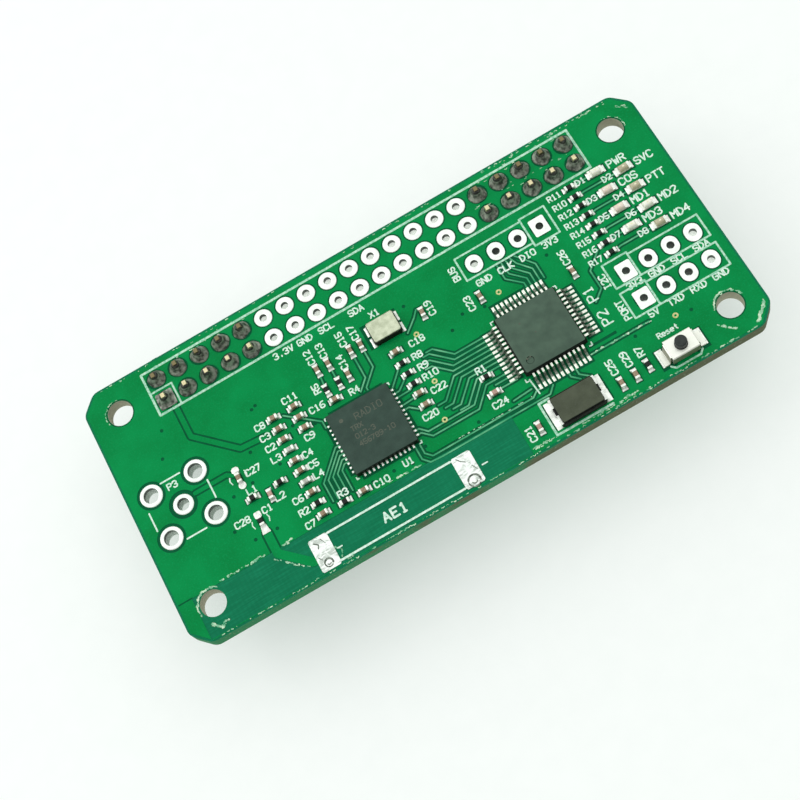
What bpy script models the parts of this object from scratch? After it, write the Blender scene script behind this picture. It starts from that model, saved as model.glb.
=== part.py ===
"""Add-on radio board that plugs onto the header of a small computer.

One printed circuit board carries two socket blocks on its underside and its
chips, lamps and button on top. Sizes and places are in millimetres in this
file and become metres when a mesh is made. The origin lies under the board's
centre, in the plane of the sockets' mating faces. +X runs along the board's
long side, +Y points to the header edge and +Z points up through the parts.
"""

import math

import bmesh
import bpy
from mathutils import Matrix, Vector

MM = 0.001

# Circuit board
BOARD_LENGTH = 65.0
BOARD_WIDTH = 30.0
BOARD_THICKNESS = 1.6
CORNER_CUT = 1.8
CORNER_ROUNDING = 1.1
SCREW_HOLE_DIAMETER = 2.75
SCREW_SPACING_X = 58.0
SCREW_SPACING_Y = 23.0

# Header: two rows of holes along the top edge, sockets under both ends
PITCH = 2.54
HEADER_COLUMNS = 20
HEADER_MIDDLE_Y = 11.5
PIN_HOLE_DIAMETER = 1.0
SOCKET_COLUMNS = 5

# Socket housings and their contacts
SOCKET_HEIGHT = 8.5
SOCKET_DEPTH = 5.0
SOCKET_GAP = 0.03
CAVITY_HALF_X = 0.82
CAVITY_HALF_Y = 0.55
MOUTH_HALF = 0.42
MOUTH_FUNNEL_HALF = 0.78
CONTACT_THICKNESS = 0.5
TAIL_WIDTH = 0.6
TAIL_ABOVE_BOARD = 1.35

# Chips
REST_GAP = 0.04
CONTROLLER_SIZE = 7.0
CONTROLLER_HEIGHT = 1.15
CONTROLLER_LEADS_PER_SIDE = 12
CONTROLLER_LEAD_PITCH = 0.5
CONTROLLER_LEAD_SPAN = 9.0
TRANSCEIVER_SIZE = 7.0
TRANSCEIVER_HEIGHT = 0.85

# Reset button: heights are above the board's top face
COVER_TOP = 1.5
COVER_SHEET = 0.1
COVER_HALF_DEPTH = 1.1
COVER_HALF_WIDTH = 1.5
WELL_FLOOR = 0.6
WELL_RADIUS = 0.86
DOME_RADIUS = 0.8
DOME_RISE = 0.22
DOME_THICKNESS = 0.05
STEM_RADIUS = 0.62
FLANGE_RADIUS = 0.8
STEM_TIP = 2.3
RUNNING_GAP = 0.04

BOARD_UNDERSIDE = SOCKET_HEIGHT
BOARD_TOP = BOARD_UNDERSIDE + BOARD_THICKNESS

# Where the parts stand on the board, as x and y of their middle
CONTROLLER_PLACE = (11.93, -4.2)
TRANSCEIVER_PLACE = (-7.25, -4.2)
OSCILLATOR_PLACE = (-1.2, 4.7)
CRYSTAL_PLACE = (11.45, -12.4)
BUTTON_PLACE = (22.7, -12.93)
LAMP_COLUMNS_X = (25.3, 27.85)
LAMP_FIRST_Y = 8.15
LAMP_STEP_Y = 1.2
LAMP_COUNT = 8
LAMP_RESISTOR_X = 22.2
LAMP_RESISTOR_FIRST_Y = 8.1
LAMP_RESISTOR_STEP_Y = 1.215
FILTER_COLUMN_X = -15.4
FILTER_FIRST_Y = 2.3
FILTER_STEP_Y = 1.28
ANTENNA_CAPACITOR_PLACE = (-21.2, -1.45)


def clear_scene():
    for obj in list(bpy.data.objects):
        bpy.data.objects.remove(obj, do_unlink=True)


def make_material(name, colour, roughness, metallic=0.0):
    material = bpy.data.materials.new(name)
    material.use_nodes = True
    shader = material.node_tree.nodes["Principled BSDF"]
    shader.inputs["Base Color"].default_value = (*colour, 1.0)
    shader.inputs["Roughness"].default_value = roughness
    shader.inputs["Metallic"].default_value = metallic
    material.diffuse_color = (*colour, 1.0)
    return material


def mesh_from(shape, name):
    """Turns a shape in millimetres into a mesh in metres with outward faces."""
    bmesh.ops.recalc_face_normals(shape, faces=shape.faces)
    bmesh.ops.scale(shape, vec=Vector((MM, MM, MM)), verts=shape.verts)
    mesh = bpy.data.meshes.new(name)
    shape.to_mesh(mesh)
    shape.free()
    return mesh


def place(name, mesh, material, at=(0.0, 0.0, 0.0), turn=0.0):
    """Puts a mesh in the scene as one named object, at a place in millimetres."""
    if not mesh.materials:
        mesh.materials.append(material)
    obj = bpy.data.objects.new(name, mesh)
    obj.location = Vector(at) * MM
    obj.rotation_euler = (0.0, 0.0, turn)
    bpy.context.scene.collection.objects.link(obj)
    return obj


def change_with(obj, tool_shape, operation):
    """Cuts a tool shape out of an object, or joins it on, and hides the tool."""
    tool = bpy.data.objects.new(obj.name + "_tool", mesh_from(tool_shape, obj.name + "_tool"))
    tool.location = obj.location
    tool.rotation_euler = obj.rotation_euler
    tool.hide_render = True
    tool.display_type = "WIRE"
    bpy.context.scene.collection.objects.link(tool)
    modifier = obj.modifiers.new(operation.title(), "BOOLEAN")
    modifier.operation = operation
    modifier.solver = "EXACT"
    modifier.object = tool


def add_stack(shape, rings):
    """Adds a solid whose skin runs through rings of equally many points."""
    loops = [[shape.verts.new(point) for point in ring] for ring in rings]
    count = len(loops[0])
    for low, high in zip(loops, loops[1:]):
        for i in range(count):
            j = (i + 1) % count
            shape.faces.new((low[i], low[j], high[j], high[i]))
    shape.faces.new(reversed(loops[0]))
    shape.faces.new(loops[-1])


def circle(radius, z, steps, centre=(0.0, 0.0)):
    angles = [2.0 * math.pi * i / steps for i in range(steps)]
    return [(centre[0] + radius * math.cos(a), centre[1] + radius * math.sin(a), z) for a in angles]


def rectangle(half_x, half_y, z, centre=(0.0, 0.0)):
    signs = ((-1, -1), (1, -1), (1, 1), (-1, 1))
    return [(centre[0] + sx * half_x, centre[1] + sy * half_y, z) for sx, sy in signs]


def cut_rectangle(half_x, half_y, cut, z):
    """A rectangle with its four corners cut off at 45 degrees."""
    points = []
    for sx, sy in ((1, 1), (-1, 1), (-1, -1), (1, -1)):
        corner = [(sx * half_x, sy * (half_y - cut), z), (sx * (half_x - cut), sy * half_y, z)]
        points += corner if sx * sy > 0 else reversed(corner)
    return points


def add_block(shape, low, high):
    half_x = (high[0] - low[0]) / 2
    half_y = (high[1] - low[1]) / 2
    centre = (low[0] + half_x, low[1] + half_y)
    add_stack(shape, [rectangle(half_x, half_y, z, centre) for z in (low[2], high[2])])


def add_cylinder(shape, radius, low, high, steps, centre=(0.0, 0.0)):
    add_stack(shape, [circle(radius, z, steps, centre) for z in (low, high)])


def add_profile(shape, outline, thickness, turn=0.0, offset=(0.0, 0.0, 0.0)):
    """Adds an outline in X and Z, thickened along Y, turned about Z and moved."""
    move = Matrix.Translation(offset) @ Matrix.Rotation(turn, 4, "Z")
    sides = [[move @ Vector((x, y, z)) for x, z in outline] for y in (-thickness / 2, thickness / 2)]
    add_stack(shape, sides)


def board_outline(z):
    """A rectangle with cut corners whose two bends at each corner are rounded."""
    points = []
    sharp = [Vector(p) for p in cut_rectangle(BOARD_LENGTH / 2, BOARD_WIDTH / 2, CORNER_CUT, z)]
    for i, bend in enumerate(sharp):
        before = (sharp[i - 1] - bend).normalized()
        after = (sharp[(i + 1) % len(sharp)] - bend).normalized()
        start = bend + before * CORNER_ROUNDING / 2
        end = bend + after * CORNER_ROUNDING / 2
        for share in (0.0, 0.25, 0.5, 0.75, 1.0):
            points.append(start.lerp(bend, share).lerp(bend.lerp(end, share), share))
    return points


def header_holes():
    first_x = -PITCH * (HEADER_COLUMNS - 1) / 2
    for column in range(HEADER_COLUMNS):
        for row in (-0.5, 0.5):
            yield (first_x + PITCH * column, HEADER_MIDDLE_Y + PITCH * row)


def service_holes():
    """The holes of the three rows of four that take no header in this build."""
    rows = ((9.95, 6.1), (22.38, -2.9), (22.38, -6.35))
    for first_x, y in rows:
        for column in range(4):
            yield (first_x + PITCH * column, y)


def coaxial_holes():
    """The five holes of the empty coaxial connector: four legs and a middle pin."""
    middle = (-27.33, -0.85)
    half = PITCH
    legs = [(middle[0] + sx * half, middle[1] + sy * half, 1.7) for sx in (-1, 1) for sy in (-1, 1)]
    return legs + [(*middle, 1.4)]


def make_circuit_board():
    """Glass-fibre board, drilled for the screws, the header and the service rows."""
    shape = bmesh.new()
    add_stack(shape, [board_outline(z) for z in (BOARD_UNDERSIDE, BOARD_TOP)])
    resist = make_material("solder_resist_green", (0.0, 0.27, 0.07), 0.35)
    board = place("circuit_board", mesh_from(shape, "circuit_board"), resist)
    drill = bmesh.new()
    below = BOARD_UNDERSIDE - 1.0
    above = BOARD_TOP + 1.0
    for sx in (-1, 1):
        for sy in (-1, 1):
            centre = (sx * SCREW_SPACING_X / 2, sy * SCREW_SPACING_Y / 2)
            add_cylinder(drill, SCREW_HOLE_DIAMETER / 2, below, above, 32, centre)
    for centre in [*header_holes(), *service_holes()]:
        add_cylinder(drill, PIN_HOLE_DIAMETER / 2, below, above, 12, centre)
    for x, y, diameter in coaxial_holes():
        add_cylinder(drill, diameter / 2, below, above, 16, (x, y))
    change_with(board, drill, "DIFFERENCE")


def socket_holes(side):
    """The header holes over one socket: side is -1 for the left one, 1 for the right."""
    inner_edge = PITCH * (HEADER_COLUMNS / 2 - SOCKET_COLUMNS)
    return [(x, y) for x, y in header_holes() if side * x > inner_edge]


def make_header_socket(name, side, material):
    """Moulded block with ten cavities: wide from the board side, narrow at the mouth."""
    half_x = PITCH * SOCKET_COLUMNS / 2
    middle_x = side * (PITCH * HEADER_COLUMNS / 2 - half_x)
    shape = bmesh.new()
    low = (middle_x - half_x, HEADER_MIDDLE_Y - SOCKET_DEPTH / 2, 0.0)
    high = (middle_x + half_x, HEADER_MIDDLE_Y + SOCKET_DEPTH / 2, SOCKET_HEIGHT - SOCKET_GAP)
    add_block(shape, low, high)
    housing = place(name, mesh_from(shape, name), material)
    cavities = bmesh.new()
    for centre in socket_holes(side):
        levels = (
            (MOUTH_FUNNEL_HALF + 0.1, MOUTH_FUNNEL_HALF + 0.1, -0.1),
            (MOUTH_HALF, MOUTH_HALF, 0.35),
            (MOUTH_HALF, MOUTH_HALF, 1.0),
            (CAVITY_HALF_X, CAVITY_HALF_Y, 1.0),
            (CAVITY_HALF_X, CAVITY_HALF_Y, SOCKET_HEIGHT + 0.5),
        )
        add_stack(cavities, [rectangle(hx, hy, z, centre) for hx, hy, z in levels])
    change_with(housing, cavities, "DIFFERENCE")


def contact_outline():
    """A stamped fork: two spring arms below, a shoulder, and a tail to solder above."""
    tip = BOARD_TOP + TAIL_ABOVE_BOARD
    tail = TAIL_WIDTH / 2
    shoulder = CAVITY_HALF_X - 0.06
    right = [
        (0.2, tip),
        (tail, tip - 0.35),
        (tail, SOCKET_HEIGHT - 0.5),
        (shoulder, SOCKET_HEIGHT - 0.5),
        (shoulder, SOCKET_HEIGHT - 2.2),
        (0.62, SOCKET_HEIGHT - 2.6),
        (0.56, 2.2),
        (0.7, 1.2),
        (0.52, 1.2),
        (0.34, 2.2),
        (0.38, SOCKET_HEIGHT - 2.9),
    ]
    left = [(-x, z) for x, z in reversed(right)]
    return right + left


def make_header_contacts():
    gilded = make_material("gilded_contact", (0.83, 0.68, 0.38), 0.3, 1.0)
    shape = bmesh.new()
    add_profile(shape, contact_outline(), CONTACT_THICKNESS)
    mesh = mesh_from(shape, "header_contact")
    holes = socket_holes(-1) + socket_holes(1)
    for number, (x, y) in enumerate(holes, start=1):
        place(f"header_contact_{number:02d}", mesh, gilded, (x, y, 0.0))


def make_header_sockets():
    moulding = make_material("socket_black", (0.012, 0.012, 0.013), 0.45)
    make_header_socket("header_socket_left", -1, moulding)
    make_header_socket("header_socket_right", 1, moulding)
    make_header_contacts()


def gull_wing_outline():
    """One lead seen from its side: out of the body, down a bend, and flat on its pad."""
    half_span = CONTROLLER_LEAD_SPAN / 2
    side = CONTROLLER_SIZE / 2
    exit_height = CONTROLLER_HEIGHT / 2 - 0.03
    thick = 0.14
    return [
        (side - 0.2, exit_height),
        (side + 0.28, exit_height),
        (half_span - 0.5, 0.0),
        (half_span, 0.0),
        (half_span, thick),
        (half_span - 0.42, thick),
        (side + 0.36, exit_height + thick),
        (side - 0.2, exit_height + thick),
    ]


def make_microcontroller():
    """Flat moulded chip with gull-wing leads on all four sides."""
    half = CONTROLLER_SIZE / 2
    draft = 0.2
    clear_under = 0.1
    parting = CONTROLLER_HEIGHT / 2 + 0.04
    levels = ((half - draft, clear_under), (half, parting - 0.05), (half, parting + 0.05),
              (half - draft, CONTROLLER_HEIGHT))
    shape = bmesh.new()
    add_stack(shape, [cut_rectangle(size, size, 0.25, z) for size, z in levels])
    moulding = make_material("chip_moulding", (0.05, 0.055, 0.055), 0.5)
    at = (*CONTROLLER_PLACE, BOARD_TOP + REST_GAP)
    chip = place("microcontroller", mesh_from(shape, "microcontroller"), moulding, at)
    leads = bmesh.new()
    first = -CONTROLLER_LEAD_PITCH * (CONTROLLER_LEADS_PER_SIDE - 1) / 2
    for quarter in range(4):
        turn = quarter * math.pi / 2
        for i in range(CONTROLLER_LEADS_PER_SIDE):
            along = Matrix.Rotation(turn, 3, "Z") @ Vector((0.0, first + CONTROLLER_LEAD_PITCH * i, 0.0))
            add_profile(leads, gull_wing_outline(), 0.22, turn, along)
    change_with(chip, leads, "UNION")


def make_radio_transceiver():
    """Leadless moulded chip, sawn square, with its top edges slightly eased."""
    half = TRANSCEIVER_SIZE / 2
    levels = ((half, 0.0), (half, TRANSCEIVER_HEIGHT - 0.06), (half - 0.06, TRANSCEIVER_HEIGHT))
    shape = bmesh.new()
    add_stack(shape, [rectangle(size, size, z) for size, z in levels])
    moulding = make_material("sawn_chip_moulding", (0.045, 0.05, 0.05), 0.45)
    at = (*TRANSCEIVER_PLACE, BOARD_TOP + REST_GAP)
    place("radio_transceiver", mesh_from(shape, "radio_transceiver"), moulding, at)


def make_lidded_package(name, size, base_height, lid_height, lid_margin, place_xy, materials):
    """A ceramic tub with its lid: the package of the oscillator and of the crystal."""
    half_x = size[0] / 2
    half_y = size[1] / 2
    floor = BOARD_TOP + REST_GAP
    base = bmesh.new()
    add_stack(base, [cut_rectangle(half_x, half_y, 0.2, z) for z in (0.0, base_height)])
    place(name + "_base", mesh_from(base, name + "_base"), materials[0], (*place_xy, floor))
    lid = bmesh.new()
    reach_x = half_x - lid_margin
    reach_y = half_y - lid_margin
    ease = 0.04
    levels = ((reach_x, reach_y, 0.0), (reach_x, reach_y, lid_height - ease),
              (reach_x - ease, reach_y - ease, lid_height))
    add_stack(lid, [cut_rectangle(hx, hy, 0.15, z) for hx, hy, z in levels])
    at = (*place_xy, floor + base_height + 0.02)
    place(name + "_lid", mesh_from(lid, name + "_lid"), materials[1], at)


def make_oscillator():
    ceramic = make_material("oscillator_ceramic", (0.16, 0.15, 0.13), 0.6)
    plate = make_material("oscillator_lid_plate", (0.72, 0.7, 0.62), 0.4, 0.6)
    make_lidded_package("oscillator", (3.2, 2.5), 0.75, 0.2, 0.08, OSCILLATOR_PLACE, (ceramic, plate))


def make_crystal():
    ceramic = make_material("crystal_ceramic", (0.03, 0.027, 0.025), 0.6)
    cover = make_material("crystal_cover", (0.035, 0.028, 0.026), 0.5)
    make_lidded_package("crystal", (5.0, 3.2), 0.7, 0.3, 0.18, CRYSTAL_PLACE, (ceramic, cover))


def turned_mesh(name, profile, steps):
    """A smooth solid of revolution: profile lists (radius, z) from the bottom to the top."""
    shape = bmesh.new()
    add_stack(shape, [circle(radius, z, steps) for radius, z in profile])
    mesh = mesh_from(shape, name)
    mesh.shade_smooth()
    mesh.set_sharp_from_angle(angle=math.radians(35))
    return mesh


def make_button_base():
    """Moulded base with a round well that holds the snap dome."""
    half_width = COVER_HALF_WIDTH - 0.05
    half_depth = COVER_HALF_DEPTH - COVER_SHEET - 0.03
    height = WELL_FLOOR + 0.5
    base = bmesh.new()
    add_block(base, (-half_width, -half_depth, 0.0), (half_width, half_depth, height))
    black = make_material("button_base_black", (0.01, 0.01, 0.01), 0.5)
    at = (*BUTTON_PLACE, BOARD_TOP + REST_GAP)
    obj = place("button_base", mesh_from(base, "button_base"), black, at)
    well = bmesh.new()
    add_cylinder(well, WELL_RADIUS, WELL_FLOOR, height + 0.5, 24)
    change_with(obj, well, "DIFFERENCE")


def cover_skirt_outline():
    """The cover from one end: a flat top with its front and back edges folded down."""
    bend = 0.1
    hem = 0.4
    inner = COVER_HALF_DEPTH - COVER_SHEET
    under = COVER_TOP - COVER_SHEET
    half = [(inner, under), (inner, hem), (COVER_HALF_DEPTH, hem), (COVER_HALF_DEPTH, COVER_TOP - bend),
            (COVER_HALF_DEPTH - bend, COVER_TOP)]
    return half + [(-x, z) for x, z in reversed(half)]


def cover_strap_outline():
    """The cover from the front: its two ends go down to the board and out as feet."""
    foot_end = 2.3
    foot = 0.12
    outer = [(foot_end, 0.0), (foot_end, foot), (COVER_HALF_WIDTH + 0.22, foot),
             (COVER_HALF_WIDTH + 0.12, COVER_TOP - 0.08), (COVER_HALF_WIDTH, COVER_TOP - 0.02)]
    inner = [(COVER_HALF_WIDTH - 0.2, COVER_TOP - COVER_SHEET),
             (COVER_HALF_WIDTH - 0.02, COVER_TOP - COVER_SHEET - 0.04), (COVER_HALF_WIDTH + 0.06, 0.0)]
    outline = outer + [(-x, z) for x, z in reversed(outer)]
    return outline + [(-x, z) for x, z in reversed(inner)] + inner


def make_button_cover():
    """Folded sheet cover: a top with two skirts, and a strap that ends in two feet."""
    cover = bmesh.new()
    add_profile(cover, cover_skirt_outline(), 2 * COVER_HALF_WIDTH, math.pi / 2)
    steel = make_material("button_cover_steel", (0.86, 0.85, 0.8), 0.3, 0.7)
    at = (*BUTTON_PLACE, BOARD_TOP + REST_GAP)
    obj = place("button_cover", mesh_from(cover, "button_cover"), steel, at)
    strap = bmesh.new()
    add_profile(strap, cover_strap_outline(), 1.6)
    change_with(obj, strap, "UNION")
    opening = bmesh.new()
    add_cylinder(opening, STEM_RADIUS + RUNNING_GAP, COVER_TOP - 0.5, COVER_TOP + 0.5, 32)
    change_with(obj, opening, "DIFFERENCE")


def make_button_dome():
    """Thin domed disc: it snaps through under the plunger and springs it back."""
    rings = 4
    shares = [1.0 - i / rings for i in range(rings)] + [0.06]

    def point(share, lift):
        return (DOME_RADIUS * share, DOME_RISE * (1.0 - share * share) + lift)

    under = [point(share, 0.0) for share in reversed(shares)]
    top = [point(share, DOME_THICKNESS) for share in shares]
    steel = make_material("snap_dome_steel", (0.6, 0.6, 0.58), 0.3, 1.0)
    mesh = turned_mesh("button_dome", under + top, 20)
    place("button_dome", mesh, steel, (*BUTTON_PLACE, BOARD_TOP + REST_GAP + WELL_FLOOR + 0.02))


def make_button_plunger():
    """Round stem with a flange that keeps it under the cover."""
    flange_low = WELL_FLOOR + 0.02 + DOME_RISE + DOME_THICKNESS + 0.03
    flange = COVER_TOP - COVER_SHEET - RUNNING_GAP - flange_low
    tip = STEM_TIP - flange_low
    ease = 0.08
    profile = [(FLANGE_RADIUS, 0.0), (FLANGE_RADIUS, flange), (STEM_RADIUS, flange),
               (STEM_RADIUS, tip - ease), (STEM_RADIUS - ease, tip)]
    black = make_material("plunger_black", (0.015, 0.015, 0.016), 0.4)
    guide = bpy.data.objects.new("button_slide_axis", None)
    guide.location = Vector((*BUTTON_PLACE, BOARD_TOP + REST_GAP + flange_low)) * MM
    bpy.context.scene.collection.objects.link(guide)
    place("button_plunger", turned_mesh("button_plunger", profile, 32), black).parent = guide


def make_reset_button():
    make_button_base()
    make_button_cover()
    make_button_dome()
    make_button_plunger()


def make_indicator_lamps():
    """Eight small lamps in two staggered columns: a flat base with a clear block on it."""
    outline = [(-0.8, 0.0), (0.8, 0.0), (0.8, 0.24), (0.52, 0.24), (0.48, 0.62), (-0.48, 0.62),
               (-0.52, 0.24), (-0.8, 0.24)]
    shape = bmesh.new()
    add_profile(shape, outline, 0.8)
    mesh = mesh_from(shape, "indicator_lamp")
    lens = make_material("lamp_resin", (0.85, 0.82, 0.66), 0.25)
    for i in range(LAMP_COUNT):
        x = LAMP_COLUMNS_X[i % len(LAMP_COLUMNS_X)]
        y = LAMP_FIRST_Y - LAMP_STEP_Y * i
        place(f"indicator_lamp_{i + 1}", mesh, lens, (x, y, BOARD_TOP + REST_GAP))


def chip_part_mesh(name, height):
    """A small block 1 mm long whose two end caps stand slightly proud of its middle."""
    half_length = 0.5
    cap = 0.25
    proud = 0.02
    stations = ((-half_length, proud), (cap - half_length, proud), (cap - half_length, 0.0),
                (half_length - cap, 0.0), (half_length - cap, proud), (half_length, proud))
    rings = []
    for x, step in stations:
        half_y = 0.23 + step
        low, high = (0.02 - step, height - 0.02 + step)
        rings.append([(x, -half_y, low), (x, half_y, low), (x, half_y, high), (x, -half_y, high)])
    shape = bmesh.new()
    add_stack(shape, rings)
    return mesh_from(shape, name)


def make_small_parts():
    """The resistors of the lamps, the filter column and the antenna capacitor."""
    floor = BOARD_TOP + REST_GAP
    resistor_black = make_material("resistor_black", (0.02, 0.02, 0.02), 0.4)
    ceramic_tan = make_material("capacitor_tan", (0.42, 0.3, 0.18), 0.5)
    inductor_grey = make_material("inductor_grey", (0.5, 0.5, 0.48), 0.5)
    kinds = {
        "resistor": (chip_part_mesh("chip_resistor", 0.35), resistor_black),
        "capacitor": (chip_part_mesh("chip_capacitor", 0.5), ceramic_tan),
        "inductor": (chip_part_mesh("chip_inductor", 0.45), inductor_grey),
    }
    for i in range(LAMP_COUNT):
        at = (LAMP_RESISTOR_X, LAMP_RESISTOR_FIRST_Y - LAMP_RESISTOR_STEP_Y * i, floor)
        place(f"lamp_resistor_{i + 1}", *kinds["resistor"], at)
    column = ("capacitor", "capacitor", "capacitor", "inductor", "capacitor",
              "capacitor", "inductor", "capacitor", "resistor", "capacitor")
    for i, kind in enumerate(column):
        at = (FILTER_COLUMN_X, FILTER_FIRST_Y - FILTER_STEP_Y * i, floor)
        place(f"filter_{kind}_{i + 1}", *kinds[kind], at)
    at = (*ANTENNA_CAPACITOR_PLACE, floor)
    place("antenna_capacitor", *kinds["capacitor"], at, math.pi / 2)


clear_scene()
make_circuit_board()
make_header_sockets()
make_microcontroller()
make_radio_transceiver()
make_oscillator()
make_crystal()
make_reset_button()
make_indicator_lamps()
make_small_parts()
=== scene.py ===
# %% [markdown]
# # A radio add-on board
# The board plugs onto the pin header of a small computer. Its solids come ready made as the frame: the board
# with its holes, the sockets, the chips and the button. This lesson gives them their finishes, and adds what
# is too fine for the solids: copper tracks, printed legend, pads, solder and the small parts.
# Lengths in the lesson are millimetres, and one factor turns them into Blender's metres.

# %% Load the frame
import math
import random

import bmesh
import bpy
from mathutils import Matrix, Vector
from mathutils.geometry import delaunay_2d_cdt


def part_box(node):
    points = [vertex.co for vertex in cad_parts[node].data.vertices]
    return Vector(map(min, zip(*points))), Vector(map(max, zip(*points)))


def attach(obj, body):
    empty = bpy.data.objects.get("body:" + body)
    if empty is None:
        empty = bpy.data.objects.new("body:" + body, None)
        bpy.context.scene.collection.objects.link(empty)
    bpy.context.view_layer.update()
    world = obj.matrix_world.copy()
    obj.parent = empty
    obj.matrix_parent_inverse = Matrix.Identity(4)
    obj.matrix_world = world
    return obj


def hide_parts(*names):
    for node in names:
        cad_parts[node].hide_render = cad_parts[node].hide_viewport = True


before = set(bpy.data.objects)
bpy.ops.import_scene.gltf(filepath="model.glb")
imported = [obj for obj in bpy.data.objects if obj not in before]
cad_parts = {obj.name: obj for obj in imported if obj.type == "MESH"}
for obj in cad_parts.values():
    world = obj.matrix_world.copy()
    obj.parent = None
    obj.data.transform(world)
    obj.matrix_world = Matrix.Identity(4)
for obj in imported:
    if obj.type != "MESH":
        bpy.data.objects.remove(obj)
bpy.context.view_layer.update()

MM = 0.001
board_low, board_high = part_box("circuit_board")
TOP = board_high.z / MM
UNDER = board_low.z / MM
HALF_X = board_high.x / MM
HALF_Y = board_high.y / MM
print(f"board {2 * HALF_X:.1f} x {2 * HALF_Y:.1f} mm, faces at {UNDER:.2f} and {TOP:.2f}")

# %% [markdown]
# ## Studio
# The camera looks down from the edge with the button, and it is rolled, so that the long side climbs to the
# right. A long lens from 17 cm away keeps the far edge nearly as long as the near one. Standard colour keeps
# the saturated green as it is.

# %% Camera
LENS_MM = 75.04
CAMERA_PLACE = (-2.04, -66.85, TOP + 152.57)
CAMERA_TARGET = (-3.41, -2.78, TOP)
CAMERA_ROLL = math.radians(31.12)
scene = bpy.context.scene
scene.view_settings.view_transform = "Standard"


def aim(obj, place, target, roll=0.0):
    """Puts a camera or a light at a place, looking at a target, both in millimetres."""
    look = Vector(target) - Vector(place)
    turn = look.to_track_quat("-Z", "Y").to_matrix() @ Matrix.Rotation(-roll, 3, "Z")
    obj.location = Vector(place) * MM
    obj.rotation_euler = turn.to_euler()


camera = bpy.data.objects.new("camera", bpy.data.cameras.new("camera"))
scene.collection.objects.link(camera)
camera.data.sensor_width = 36.0
camera.data.lens = LENS_MM
camera.data.clip_start = 0.01
camera.data.clip_end = 5.0
aim(camera, CAMERA_PLACE, CAMERA_TARGET, CAMERA_ROLL)
scene.camera = camera
print("camera", [round(v / MM, 1) for v in camera.location])

# %% [markdown]
# A small shiny board needs big soft lights, because tin and solder show what they reflect. In a studio it
# would stand in a tent of white cloth. Here the world is the tent: brighter above and behind, dimmer in
# front, so that walls that face the viewer stay darker than the tops. One large disc at the upper left adds a
# soft shadow, and a weaker one at the right opens it.

# %% Lights
TENT_AXIS = (-0.12, 0.4, 0.91)
TENT_RANGE = (("From Min", -0.2), ("From Max", 0.9), ("To Min", 0.24), ("To Max", 1.26))
WHITE_CLOTH = (0.97, 1.0, 0.98, 1.0)


def soft_light(name, place, target, size, watts, colour=(1.0, 1.0, 1.0)):
    """A round area light; place, target and size are in millimetres."""
    light = bpy.data.lights.new(name, "AREA")
    light.shape = "DISK"
    light.size = size * MM
    light.energy = watts
    light.color = colour
    obj = bpy.data.objects.new(name, light)
    scene.collection.objects.link(obj)
    aim(obj, place, target)
    return obj


soft_light("key_light", (-170, 120, 190), (-10, 0, TOP), 160, 0.1)
soft_light("fill_light", (240, 60, 260), (0, 0, TOP), 240, 0.05, (0.95, 1.0, 0.98))
world = bpy.data.worlds.new("studio_white")
scene.world = world
world.use_nodes = True
backdrop = world.node_tree.nodes["Background"]
backdrop.inputs["Color"].default_value = WHITE_CLOTH
nodes, links = world.node_tree.nodes, world.node_tree.links
direction = nodes.new("ShaderNodeTexCoord")
toward_back = nodes.new("ShaderNodeVectorMath")
toward_back.operation = "DOT_PRODUCT"
toward_back.inputs[1].default_value = TENT_AXIS
tent = nodes.new("ShaderNodeMapRange")
tent.interpolation_type = "SMOOTHSTEP"
for socket, value in TENT_RANGE:
    tent.inputs[socket].default_value = value
links.new(direction.outputs["Generated"], toward_back.inputs[0])
links.new(toward_back.outputs["Value"], tent.inputs["Value"])
links.new(tent.outputs["Result"], backdrop.inputs["Strength"])

# %% [markdown]
# ## A short way to write finishes
# Every finish here is a Principled shader fed by a few noises, measured in millimetres on the piece itself.
# A small class wires them, so that each material below reads like a recipe: base colour, what mottles it,
# what roughens it and what dents it. The plain tone given first is only what a viewer without patterns shows.

# %% Finish recipes


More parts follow.
